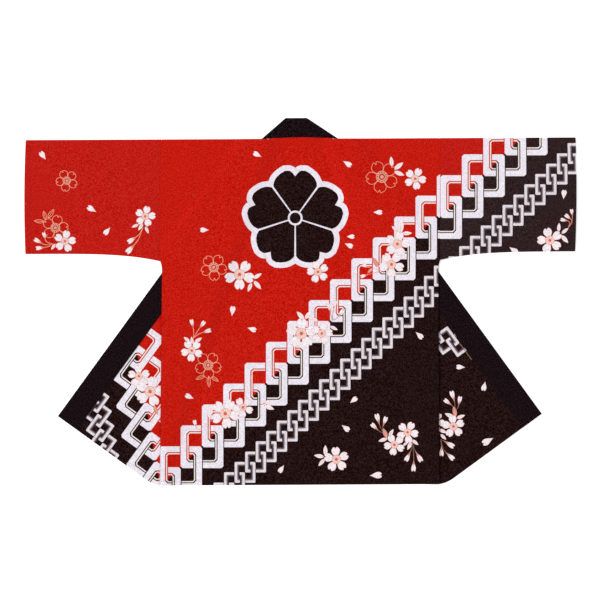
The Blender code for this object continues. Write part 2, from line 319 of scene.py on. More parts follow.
def seam_share(y: float) -> float:
    """How far a side edge rolls under: fully along the side seam, slightly along the armhole."""
    armhole = SEAM_DIP / ROLL
    return armhole + (1 - armhole) * smooth((ARMPIT_Y - y) / (2 * HEM_DEPTH))


def rolled_in(x: float) -> float:
    """Distance from the middle after the side edge has rolled in."""
    return x if x < ROLL_START else ROLL_START + ROLL * math.sin((x - ROLL_START) / ROLL)


def rolled_depth(x: float, y: float) -> float:
    """How far the rolled side edge has left the level of its layer at a page place."""
    turn = max(0.0, x - BODY_HALF_WIDTH + ROLL) / ROLL
    return ROLL * (1 - math.cos(turn)) * seam_share(y)


def side_draw(x: float, y: float) -> float:
    """How far the side seam draws the cloth in: most just under the armpit, not at all at the hem.

    Args:
        x: distance from the middle.
        y: height on the page.

    Returns:
        The distance towards the middle.
    """
    down = min(1.0, max(0.0, (ARMPIT_Y - y) / (ARMPIT_Y - HEM_Y)))
    near = smooth((x - BODY_HALF_WIDTH + SIDE_DRAW_REACH) / SIDE_DRAW_REACH)
    return SIDE_DRAW * smooth((ARMPIT_Y - y) / SIDE_DRAW_EASE) * (1 - down) * near


def bezier(start: Vector, lean: Vector, pull: Vector, end: Vector, steps: int) -> list[Vector]:
    """Points of a cubic curve, both ends included.

    Args:
        start: first point.
        lean: control point of the start.
        pull: control point of the end.
        end: last point.
        steps: number of stretches.

    Returns:
        The points in order.
    """
    points = []
    for share in spread(0.0, 1.0, steps):
        rest = 1 - share
        points.append(
            start * rest**3 + lean * 3 * rest**2 * share + pull * 3 * rest * share**2 + end * share**3
        )
    return points


def unit(angle: float) -> Vector:
    """The direction at an angle in radians."""
    return Vector((math.cos(angle), math.sin(angle)))


def mirrored(points: Iterable[Vector], side: int = -1) -> list[Vector]:
    """Points as they are where the side is 1, or turned over to the other hand where it is -1."""
    return [Vector((side * point.x, point.y)) for point in points]


def span(points: Sequence[Vector]) -> tuple[Vector, Vector]:
    """The lowest and the highest corner of the box round some points."""
    low = Vector((min(point.x for point in points), min(point.y for point in points)))
    return low, Vector((max(point.x for point in points), max(point.y for point in points)))


def turned(points: Iterable[Vector], place: Vector, angle: float, size: float = 1.0) -> list[Vector]:
    """Points scaled, turned by an angle in radians and moved to a place."""
    turn = Matrix.Rotation(angle, 2)
    return [place + turn @ (point * size) for point in points]


def disc(place: Vector, radius: float, sides: int = 20) -> list[Vector]:
    """Points round a circle."""
    return [place + radius * unit(math.tau * n / sides) for n in range(sides)]


def signed_area(points: Sequence[Vector]) -> float:
    """Area inside an outline, positive where it runs anticlockwise."""
    return sum(a.x * b.y - b.x * a.y for a, b in zip(points, [*points[1:], points[0]])) / 2


def grown(points: Sequence[Vector], by: float) -> list[Vector]:
    """An outline moved outwards by a distance, or inwards where it is negative.

    Args:
        points: a closed outline.
        by: the distance in metres.

    Returns:
        The moved outline, round where a corner opens and with a short mitre where it closes.
    """
    sign = 1.0 if signed_area(points) > 0 else -1.0
    moved = []
    for before, point, after in zip([points[-1], *points[:-1]], points, [*points[1:], points[0]]):
        first, second = (point - before).normalized(), (after - point).normalized()
        turn = math.atan2(first.cross(second), first.dot(second))
        out = Vector((first.y, -first.x)) * sign * by
        if turn * sign * by > 0 and abs(turn) > ROUND_STEP:
            shares = spread(0.0, 1.0, math.ceil(abs(turn) / ROUND_STEP))
            moved.extend(point + Matrix.Rotation(turn * share, 2) @ out for share in shares)
        else:
            across = max(SHORTEST_MITRE, math.cos(turn / 2))
            moved.append(point + Matrix.Rotation(turn / 2, 2) @ out / across)
    return moved


def stroke(points: Sequence[Vector], start: float, end: float) -> list[Vector]:
    """Outline of a line drawn through points.

    Args:
        points: the line's points.
        start: its width at the first point.
        end: its width at the last point.

    Returns:
        The outline's points.
    """
    left, right = [], []
    last = len(points) - 1
    for index, point in enumerate(points):
        along = (points[min(index + 1, last)] - points[max(index - 1, 0)]).normalized()
        half = (start + (end - start) * index / last) / 2
        aside = Vector((-along.y, along.x)) * half
        left.append(point + aside)
        right.append(point - aside)
    return right + left[::-1]


@dataclass
class Print:
    """What is dyed on one panel: shapes in the order in which they are laid down.

    Attributes:
        ground: the dye of the bare cloth.
        shapes: outlines on the coat's own page, each with its dye.
    """

    ground: Dye
    shapes: list[tuple[list[Vector], Dye]] = field(default_factory=list)

    def dye(self, outline: Iterable[Vector], dye: Dye) -> None:
        """Lays down one shape, given by its page places, on the cloth before it settled."""
        moved = VIEW_CENTRE - PAGE_CENTRE
        self.shapes.append(([UNSETTLE @ (point + moved) for point in outline], dye))


@dataclass(frozen=True)
class Cut:
    """Half the outline of a petal, bud or leaf that points along +X, as shares of its length.

    Attributes:
        root: where it starts, along and aside.
        lean: control point near the root.
        pull: control point near the end.
        lobe: where the round side ends.
        notch: how far along the middle of the end lies.
        steps: how finely the round side is drawn.
        lip_steps: how finely the end between lobe and notch is drawn.
        bulge: how far the end's curve bulges, as a share of the notch's depth.
        narrow: how far aside its control point lies, as a share of the lobe's.
    """

    root: tuple[float, float]
    lean: tuple[float, float]
    pull: tuple[float, float]
    lobe: tuple[float, float]
    notch: float
    steps: int = 8
    lip_steps: int = 3
    bulge: float = 0.12
    narrow: float = 0.45

    def outline(self) -> list[Vector]:
        """The whole outline, both halves, anticlockwise.

        Returns:
            The outline's points.
        """
        controls = (self.root, self.lean, self.pull, self.lobe)
        side = bezier(*(Vector(point) for point in controls), self.steps)
        if self.lobe[1]:
            lobe = side[-1]
            lip = Vector((lobe.x + (lobe.x - self.notch) * self.bulge, lobe.y * self.narrow))
            side.extend(bezier(lobe, lip, lip, Vector((self.notch, 0.0)), self.lip_steps)[1:])
        other = [Vector((point.x, -point.y)) for point in side]
        start = other if self.root[1] else other[1:]
        return [*start, *side[-2::-1]]


BLOOM_PETAL = Cut((0.12, 0.05), (0.36, 0.10), (0.66, 0.56), (0.98, 0.17), 0.84)
LINE_PETAL = Cut((0.28, 0.19), (0.42, 0.33), (0.74, 0.59), (0.99, 0.13), 0.84)
LOOSE_PETAL = Cut((0.0, 0.0), (0.32, 0.06), (0.66, 0.46), (0.97, 0.15), 0.80)
BUD_HEAD = Cut((0.0, 0.0), (0.38, 0.03), (0.64, 0.31), (0.99, 0.16), 0.84, 6)
CALYX = Cut((0.0, 0.0), (0.12, 0.08), (0.36, 0.10), (0.54, 0.0), 0.54, 5)
LEAF = Cut((0.0, 0.0), (0.22, 0.24), (0.60, 0.26), (1.0, 0.0), 1.0, 7)
CREST_PETAL = Cut((0.13, 0.085), (0.40, 0.40), (0.74, 0.66), (0.98, 0.22), 0.87, 14, 8)

# The rings in the middle of a blossom drawn in line: their radius as a share of its own, and their dye.
RINGS = ((0.37, Dye.TAN), (0.32, Dye.DEEP), (0.25, Dye.TAN), (0.19, Dye.DEEP), (0.11, Dye.TAN))


def whorl(cut: Cut, place: Vector, turn: float, radius: float) -> list[list[Vector]]:
    """Five petals of one cut round a place, the first of them turned by an angle in degrees."""
    step = 360 // PETALS
    return [turned(cut.outline(), place, math.radians(turn + step * n), radius) for n in range(PETALS)]


@dataclass(frozen=True)
class Motif:
    """A shape of the print that stands by itself.

    Attributes:
        x: page place in mm.
        y: page place in mm.
    """

    x: float
    y: float

    @property
    def place(self) -> Vector:
        """Page place in metres."""
        return Vector((self.x, self.y)) * MM

    def draw(self, sheet: Print) -> None:
        """Lays the motif down on a print."""
        raise NotImplementedError


@dataclass(frozen=True)
class Bloom(Motif):
    """A five-petalled blossom dyed solid, with a soft rim, a ring, stamens and a heart.

    Attributes:
        across: width over the petals in mm.
        turn: direction of one petal in degrees.
    """

    across: float
    turn: float

    def draw(self, sheet: Print) -> None:
        """Lays the petals, the ring, the stamens and the heart down.

        Args:
            sheet: the print.
        """
        place, radius = self.place, self.across / 2 * MM
        petals = whorl(BLOOM_PETAL, place, self.turn, radius)
        for petal in petals:
            sheet.dye(grown(petal, BLOOM_RIM), Dye.BLUSH)
        for petal in petals:
            sheet.dye(petal, Dye.SNOW)
        sheet.dye(disc(place, RING * radius), Dye.SALMON)
        sheet.dye(disc(place, RING * radius - RING_LINE), Dye.PALE)
        step = 360 // STAMENS
        for n in range(STAMENS):
            out = unit(math.radians(self.turn + step * n + step // 2)) * radius
            stamen = stroke([place + out * STAMEN_ROOT, place + out * STAMEN_END], 0.7 * MM, 0.6 * MM)
            sheet.dye(stamen, Dye.SALMON)
            sheet.dye(disc(place + out * ANTHER_AT, ANTHER * radius, 6), Dye.POLLEN)
        sheet.dye(disc(place, HEART * radius, 10), Dye.HEART)


@dataclass(frozen=True)
class LineBloom(Motif):
    """A blossom drawn in line on the bare ground, with a ringed middle.

    Attributes:
        across: width over the petals in mm.
        turn: direction of one petal in degrees.
        ground: dye that shows inside the petals.
    """

    across: float
    turn: float
    ground: Dye = Dye.RED

    def draw(self, sheet: Print) -> None:
        """Lays the petals, the rings and the ring of dots down.

        Args:
            sheet: the print.
        """
        place, radius = self.place, self.across / 2 * MM
        for petal in whorl(LINE_PETAL, place, self.turn, radius):
            sheet.dye(petal, Dye.LINE)
            sheet.dye(grown(petal, -OUTLINE), self.ground)
        for share, dye in RINGS:
            sheet.dye(disc(place, share * radius, 24), dye)
        for n in range(DOTS):
            dot = place + unit(math.radians(self.turn + 360 // DOTS * n)) * DOTS_AT * radius
            sheet.dye(disc(dot, DOT * radius, 6), Dye.POLLEN)


@dataclass(frozen=True)
class Petal(Motif):
    """A loose petal in the air, placed by its middle.

    Attributes:
        points_to: direction of its pointed end in degrees.
        length: length in mm.
    """

    points_to: float
    length: float = 22.0

    def draw(self, sheet: Print) -> None:
        """Lays the petal down.

        Args:
            sheet: the print.
        """
        aim = math.radians(self.points_to + 180)
        tip = self.place - unit(aim) * self.length / 2 * MM
        petal = turned(LOOSE_PETAL.outline(), tip, aim, self.length * MM)
        sheet.dye(grown(petal, PETAL_RIM), Dye.BLUSH)
        sheet.dye(petal, Dye.SNOW)


@dataclass(frozen=True)
class Leaf(Motif):
    """A leaf with a midrib, dyed solid or drawn in line, placed by its stalk end.

    Attributes:
        points_to: direction of its tip in degrees.
        length: length in mm.
        ground: the bare ground's dye where it is drawn in line.
        fill: its dye where it is solid.
    """

    points_to: float
    length: float = 22.0
    ground: Dye | None = None
    fill: Dye = Dye.SNOW

    def draw(self, sheet: Print) -> None:
        """Lays the leaf and its midrib down.

        Args:
            sheet: the print.
        """
        aim = math.radians(self.points_to)
        root = self.place
        out = unit(aim) * self.length * MM
        leaf = turned(LEAF.outline(), root, aim, self.length * MM)
        if self.ground:
            sheet.dye(leaf, Dye.LINE)
            sheet.dye(grown(leaf, -LEAF_LINE), self.ground)
            sheet.dye(stroke([root, root + out * 0.8], LEAF_LINE, 0.8 * MM), Dye.LINE)
        else:
            sheet.dye(grown(leaf, RIM), Dye.BLUSH)
            sheet.dye(leaf, self.fill)
            midrib = Dye.PALE if self.fill is Dye.SALMON else Dye.SALMON
            sheet.dye(stroke([root, root + out * 0.72], 0.9 * MM, 0.5 * MM), midrib)


@dataclass(frozen=True)
class Bud(Motif):
    """A closed blossom on a curved stalk, placed by the blossom's middle.

    Attributes:
        points_to: direction of its open end in degrees.
        stalk_x: page place where the stalk starts, in mm.
        stalk_y: page place where the stalk starts, in mm.
        length: length of the blossom in mm.
        stalk: the stalk's dye.
    """

    points_to: float
    stalk_x: float
    stalk_y: float
    length: float = 22.0
    stalk: Dye = Dye.LINE

    def draw(self, sheet: Print) -> None:
        """Lays the stalk, the bud, its calyx and its crease down.

        Args:
            sheet: the print.
        """
        aim = math.radians(self.points_to)
        out = unit(aim)
        size = self.length * MM
        foot = self.place - out * size / 2
        root = Vector((self.stalk_x, self.stalk_y)) * MM
        run = (foot - root).length
        line = bezier(root, root.lerp(foot, 0.35), foot - out * run * 0.45, foot + out * 2 * MM, 7)
        sheet.dye(stroke(line, 1.0 * MM, 1.4 * MM), self.stalk)
        head = turned(BUD_HEAD.outline(), foot, aim, size)
        sheet.dye(grown(head, RIM), Dye.BLUSH)
        sheet.dye(head, Dye.SNOW)
        sheet.dye(turned(CALYX.outline(), foot, aim, size), Dye.SALMON)
        crease = [foot + out * size * 0.45, foot + out * size * 0.80]
        sheet.dye(stroke(crease, 0.7 * MM, 0.5 * MM), Dye.BLUSH)


class Band(NamedTuple):
    """One band of a link: its width and the cut of its outer corner in mm, and its dyes.

    The first dye is for the top and left bars, and the second for the bottom and right ones.
    """

    width: float
    corner: float
    upper: Dye
    lower: Dye


@dataclass(frozen=True)
class ChainStyle:
    """The make of a chain of square links.

    Attributes:
        side: outer side of a link in mm.
        step: distance from a link to the next, along and up, in mm.
        bands: the bands from the outside in.
        inner_corner: how much of each corner of the hole is cut off, in mm.
        edge: width of the gap drawn where a link passes over the next one, in mm.
    """

    side: float
    step: tuple[float, float]
    bands: tuple[Band, ...]
    inner_corner: float
    edge: float


BIG_CHAIN = ChainStyle(
    side=98.7,
    step=(49.36, 48.27),
    bands=(
        Band(13.2, 4.6, Dye.WHITE, Dye.WHITE),
        Band(2.3, 6.0, Dye.RED, Dye.BLACK),
        Band(2.8, 5.4, Dye.CREAM, Dye.CREAM),
    ),
    inner_corner=3.4,
    edge=2.1,
)
SMALL_CHAIN = ChainStyle(
    side=48.0,
    step=(24.41, 23.88),
    bands=(
        Band(5.6, 1.6, Dye.SMOKE, Dye.SMOKE),
        Band(1.5, 1.6, Dye.ASH_PALE, Dye.ASH_PALE),
        Band(1.6, 1.4, Dye.ASH, Dye.ASH),
        Band(1.6, 1.2, Dye.ASH_DARK, Dye.ASH_DARK),
    ),
    inner_corner=1.0,
    edge=1.2,
)


@dataclass(frozen=True)
class Chain:
    """A slanting chain of square links, each woven through the next.

    Attributes:
        style: the make of its links.
        x: page place of link 0 in mm.
        y: page place of link 0 in mm.
        first: number of the lowest link.
        last: number of the highest link.
        along: page direction that a link's flat bars run in.
        up: page direction that its upright bars run in.
        above: dye of the ground above the centre.
        below: dye of the ground below the centre.
    """

    style: ChainStyle
    x: float
    y: float
    first: int
    last: int
    along: tuple[float, float] = (1.0, 0.0)
    up: tuple[float, float] = (0.0, 1.0)
    above: Dye = Dye.BLACK
    below: Dye = Dye.BLACK

    def at(self, number: float, along: float = 0.0, up: float = 0.0) -> Vector:
        """Page place of a point on a link.

        Args:
            number: which link.
            along: the point's distance along from the link's centre, in mm.
            up: its distance up from there, in mm.

        Returns:
            The place in metres.
        """
        along += number * self.style.step[0]
        up += number * self.style.step[1]
        return Vector((
            self.x + along * self.along[0] + up * self.up[0],
            self.y + along * self.along[1] + up * self.up[1],
        )) * MM

    def part_ground(self, sheet: Print, dye: Dye, reach: float, lap: float) -> None:
        """Dyes the cloth on one side of the centre line.

        Args:
            sheet: the print.
            dye: the ground's dye there.
            reach: how far it goes, in mm, along and down; negative for the upper side.
            lap: how far it passes the centre line, in mm.
        """
        low, high = self.first - 1, self.last + 1
        back = lap if reach > 0 else -lap
        sheet.dye(
            [
                self.at(low, -back, back),
                self.at(low, reach, -reach),
                self.at(high, reach, -reach),
                self.at(high, -back, back),
            ],
            dye,
        )

    def bar(self, number: int, quarter: int, outer: float, band: Band, corner: float) -> list[Vector]:
        """One side of one band of a link, mitred at both ends.

        Args:
            number: which link.
            quarter: 0 top, 1 left, 2 bottom, 3 right.
            outer: distance of the band's outer line from the link's centre, in mm.
            band: the band.
            corner: how much of the corner of its inner line is cut off, in mm.

        Returns:
            The bar's outline.
        """
        outline = []
        for reach, cut, order in ((outer, band.corner, 1), (outer - band.width, corner, -1)):
            line = [
                (-reach + cut / 2, reach - cut / 2),
                (-reach + cut, reach),
                (reach - cut, reach),
                (reach - cut / 2, reach - cut / 2),
            ]
            outline.extend(line[::order])
        points = []
        for along, up in outline:
            for _ in range(quarter):
                along, up = -up, along
            points.append(self.at(number, along, up))
        return points

    def draw(self, sheet: Print) -> None:
        """Lays down the flat bars, and then the upright ones over them.

        Args:
            sheet: the print.
        """
        bands = self.style.bands
        corners = [band.corner for band in bands[1:]] + [self.style.inner_corner]
        half = self.style.side / 2
        for quarters in ((0, 2), (1, 3)):
            if quarters == (1, 3):
                self.draw_edges(sheet, half, sum(band.width for band in bands))
            for number in range(self.first, self.last + 1):
                for quarter in quarters:
                    outer = half
                    for band, corner in zip(bands, corners):
                        dye = band.upper if quarter < 2 else band.lower
                        sheet.dye(self.bar(number, quarter, outer, band, corner), dye)
                        outer -= band.width

    def draw_edges(self, sheet: Print, half: float, depth: float) -> None:
        """Parts each upright bar, on both its sides, from the flat bar that it passes over.

        Args:
            sheet: the print.
            half: half the outer side of a link, in mm.
            depth: width of all bands together, in mm.
        """
        step_along, step_up = self.style.step
        edge = self.style.edge
        left, low = step_along - half, half - depth
        foot = step_up - half
        gaps = (
            (left - edge, left, low, half, self.above),
            (left + depth, left + depth + edge, low, half, self.above),
            (half, half + edge, foot, foot + depth, self.below),
            (half - depth - edge, half - depth, foot, foot + depth, self.below),
        )
        for number in range(self.first, self.last):
            for near, far, bottom, top, dye in gaps:
                box = ((near, bottom), (far, bottom), (far, top), (near, top))
                sheet.dye([self.at(number, *corner) for corner in box], dye)


@dataclass(frozen=True)
class Crest(Motif):
    """A bold black blossom with a white border, in the middle of the upper back.

    Attributes:
        across: width over the petals in mm, without the border.
        border: width of the white border in mm.
        slit: width of the white gaps between the petals in mm.
        middle: size of the ring at the heart, as a share of the radius.
        turn: direction of one petal in degrees.
    """

    across: float = 222.0
    border: float = 12.5
    slit: float = 4.5
    middle: float = 0.155
    turn: int = 90

    def draw(self, sheet: Print) -> None:
        """Lays down the border, the petals, the gaps between them and the ring at the heart.

        Args:
            sheet: the print.
        """
        place, radius = self.place, self.across / 2 * MM
        petals = whorl(CREST_PETAL, place, self.turn, radius)
        for petal in petals:
            sheet.dye(grown(petal, self.border * MM), Dye.WHITE)
        for petal in petals:
            sheet.dye(petal, Dye.BLACK)
        step = 360 // PETALS
        for n in range(PETALS):
            out = unit(math.radians(self.turn - step // 2 + step * n))
            line = [place + out * radius * 0.10, place + out * radius * 0.95]
            sheet.dye(stroke(line, self.slit * 0.6 * MM, self.slit * MM), Dye.WHITE)
        sheet.dye(disc(place, self.middle * radius, 28), Dye.WHITE)
        sheet.dye(disc(place, self.middle * radius - self.slit * MM, 28), Dye.BLACK)


class Rise(NamedTuple):
    """A soft ridge in the cloth: its middle, direction, half length, half width and height in mm."""

    x: float
    y: float
    turn: float
    length: float
    width: float
    height: float

    def height_at(self, x: float, y: float) -> float:
        """How far the ridge lifts the cloth.

        Args:
            x: page place in metres.
            y: page place in metres.

        Returns:
            The lift in metres.
        """
        aim = math.radians(self.turn)
        along = (x / MM - self.x) * math.cos(aim) + (y / MM - self.y) * math.sin(aim)
        aside = (y / MM - self.y) * math.cos(aim) - (x / MM - self.x) * math.sin(aim)
        power = (along / self.length) ** 2 + (aside / self.width) ** 2
        return self.height * math.exp(-power) * MM if power < RISE_END else 0.0


@dataclass(frozen=True)
class Graph:
    """A shader node tree in the making.

    Attributes:
        tree: the tree.
    """

    tree: bpy.types.NodeTree

    def add(self, kind: str) -> bpy.types.Node:
        """Adds a node."""
        return self.tree.nodes.new(kind)

    def feed(self, target: bpy.types.NodeSocket, value: object) -> None:
        """Links a socket to an input, or sets the input to a plain value."""
        if isinstance(value, bpy.types.NodeSocket):
            self.tree.links.new(value, target)
        else:
            target.default_value = value

    def math(self, operation: str, *values: object) -> bpy.types.NodeSocket:
        """Adds a Math node whose inputs are sockets or numbers, and gives its output."""
        node = self.add("ShaderNodeMath")
        node.operation = operation
        for target, value in zip(node.inputs, values):
            self.feed(target, value)
        return node.outputs[0]

    def vector(self, operation: str, first: object, second: object) -> bpy.types.NodeSocket:
        """Adds a Vector Math node of two inputs, and gives its output."""
        node = self.add("ShaderNodeVectorMath")
        node.operation = operation
        self.feed(node.inputs[0], first)
        self.feed(node.inputs["Scale" if operation == "SCALE" else 1], second)
        return node.outputs[0]

    def noise(
        self, place: bpy.types.NodeSocket, scales: tuple[float, float, float], detail: float
    ) -> bpy.types.NodeSocket:
        """Adds a Noise node stretched by its own scale along each axis, and gives its value.

        Args:
            place: the place that it is looked up at.
            scales: its scale along each axis, per metre.
            detail: how many finer layers it has.

        Returns:
            The socket with its value.
        """
        stretched = self.vector("MULTIPLY", place, scales)
        noise = self.add("ShaderNodeTexNoise")
        noise.inputs["Scale"].default_value = 1.0
        noise.inputs["Detail"].default_value = detail
        self.feed(noise.inputs["Vector"], stretched)
        return noise.outputs["Fac"]

    def group(self, name: str, place: bpy.types.NodeSocket) -> bpy.types.bpy_prop_collection:
        """Adds a node group that takes a place, and gives its outputs."""
        node = self.add("ShaderNodeGroup")
        node.node_tree = bpy.data.node_groups[name]
        self.feed(node.inputs["Place"], place)
        return node.outputs


def new_group(name: str, results: Sequence[str]) -> tuple[Graph, bpy.types.NodeSocket, bpy.types.Node]:
    """Starts a node group that takes a place and gives values.

    Args:
        name: the group's name.
        results: the names of its values.

    Returns:
        The group's graph, the place that it takes, and the node that its values are fed to.
    """
    group = bpy.data.node_groups.new(name, "ShaderNodeTree")
    group.interface.new_socket(name="Place", in_out="INPUT", socket_type="NodeSocketVector")
    for result in results:
        group.interface.new_socket(name=result, in_out="OUTPUT", socket_type="NodeSocketFloat")
    graph = Graph(group)
    return graph, graph.add("NodeGroupInput").outputs["Place"], graph.add("NodeGroupOutput")


def weave_group() -> None:
    """Plain weave with uneven yarns: a height for the bump and a slub value for the shade."""
    graph, place, end = new_group("plain_weave", ("Height", "Slub"))
    apart = graph.add("ShaderNodeSeparateXYZ")
    graph.feed(apart.inputs[0], place)
    waves = []
    for axis in range(2):
        turns = graph.math("MULTIPLY", apart.outputs[axis], THREADS_PER_METRE)
        waves.append(graph.math("SINE", graph.math("MULTIPLY", turns, math.pi)))
    warp = graph.noise(place, (900.0, 28.0, 28.0), 2.0)
    weft = graph.noise(place, (28.0, 900.0, 28.0), 2.0)
    slub = graph.math("MULTIPLY", graph.math("ADD", warp, weft), 0.5)
    graph.feed(end.inputs["Height"], graph.math("MULTIPLY_ADD", graph.math("MULTIPLY", *waves), 0.22, slub))
    graph.feed(end.inputs["Slub"], slub)


def mottle_group() -> None:
    """Uneven take-up of the dye, in broad soft clouds, fine grain and faint upright streaks."""
    graph, place, end = new_group("dye_mottle", ("Cloud", "Grain"))
    cloud = graph.noise(place, (16.0, 11.0, 16.0), 3.0)
    streak = graph.noise(place, (160.0, 9.0, 20.0), 2.0)
    graph.feed(end.inputs["Cloud"], graph.math("MULTIPLY", graph.math("ADD", cloud, streak), 0.5))
    graph.feed(end.inputs["Grain"], graph.noise(place, (420.0, 420.0, 420.0), 2.0))


@dataclass(frozen=True)
class ClothFinish:
    """A woven cotton finish whose colour is the print's, or one plain dye.

    Attributes:
        name: the material's name.
        plain: a single dye in place of the print.
        fade: how far the colour is washed towards white, as on the reverse.
        cloud: how strongly the broad mottling shows.
        grain: how strongly the fine grain shows.
        lint: how strongly pale fibre dust shows, which lifts the darkest dyes too.
        roughness: the cloth's roughness.
        weave: strength of the weave's relief.
    """

    name: str
    plain: Dye | None = None
    fade: float = 0.0
    cloud: float = 0.22
    grain: float = 0.90
    lint: float = 0.062
    roughness: float = 0.9
    weave: float = 0.35

    def material(self) -> bpy.types.Material:
        """Builds the material."""
        made = bpy.data.materials.new(self.name)
        made.use_nodes = True
        graph = Graph(made.node_tree)
        shader = made.node_tree.nodes["Principled BSDF"]
        shader.inputs["Specular IOR Level"].default_value = 0.03
        shader.inputs["Sheen Weight"].default_value = 0.03
        shader.inputs["Sheen Roughness"].default_value = 0.5
        place = graph.add("ShaderNodeTexCoord").outputs["Object"]
        weave, mottle = graph.group("plain_weave", place), graph.group("dye_mottle", place)

        even = graph.math("MULTIPLY_ADD", mottle["Cloud"], self.cloud, 1 - self.cloud / 2)
        fine = graph.math("MULTIPLY_ADD", mottle["Grain"], self.grain, -self.grain / 2)
        tinted = graph.vector("SCALE", self.dye_socket(graph), graph.math("ADD", even, fine))
        dust = graph.math("MULTIPLY_ADD", mottle["Grain"], self.lint, -self.lint / 2)
        graph.feed(shader.inputs["Base Color"], graph.vector("ADD", tinted, dust))

        rough = graph.math("MULTIPLY_ADD", weave["Slub"], 0.12, self.roughness - 0.06)
        graph.feed(shader.inputs["Roughness"], rough)
        bump = graph.add("ShaderNodeBump")
        bump.inputs["Strength"].default_value = self.weave
        bump.inputs["Distance"].default_value = THREAD_RELIEF
        graph.feed(bump.inputs["Height"], weave["Height"])
        graph.feed(shader.inputs["Normal"], bump.outputs["Normal"])
        return made

    def dye_socket(self, graph: Graph) -> bpy.types.NodeSocket:
        """The colour before mottling: the print's or the plain dye, washed out where the finish is faded."""
        if self.plain:
            colour = graph.add("ShaderNodeRGB")
            colour.outputs[0].default_value = self.plain.linear()
            source = colour.outputs[0]
        else:
            read = graph.add("ShaderNodeAttribute")
            read.attribute_name = "dye"
            source = read.outputs["Color"]
        if not self.fade:
            return source
        wash = graph.add("ShaderNodeMix")
        wash.data_type = "RGBA"
        wash.inputs["Factor"].default_value = self.fade
        graph.feed(wash.inputs["A"], source)
        wash.inputs["B"].default_value = FADED
        return wash.outputs["Result"]


PRINTED = ClothFinish("printed_cotton")
REVERSE = ClothFinish("printed_cotton_reverse", fade=0.35)
COLLAR_CLOTH = ClothFinish("collar_cotton", plain=Dye.COLLAR, weave=0.5)
RED_THREAD = ClothFinish("red_thread", plain=Dye.SLEEVE_RED, weave=0.2, roughness=0.7)
BLACK_THREAD = ClothFinish("black_thread", plain=Dye.BLACK, weave=0.2, roughness=0.7)


def finish_of(kind: ClothFinish) -> bpy.types.Material:
    """The material of a finish, built once."""
    return bpy.data.materials.get(kind.name) or kind.material()


def finished(name: str, draft: bmesh.types.BMesh) -> bpy.types.Mesh:
    """A mesh with what a bmesh holds. The bmesh is freed."""
    mesh = bpy.data.meshes.new(name)
    draft.to_mesh(mesh)
    draft.free()
    return mesh


def add_piece(name: str, mesh: bpy.types.Mesh, finishes: Sequence[ClothFinish]) -> bpy.types.Object:
    """Adds a mesh to the scene as a piece with its finishes, riding on the coat's one body."""
    piece = bpy.data.objects.new(name, mesh)
    bpy.context.scene.collection.objects.link(piece)
    for kind in finishes:
        mesh.materials.append(finish_of(kind))
    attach(piece, BODY)
    return piece


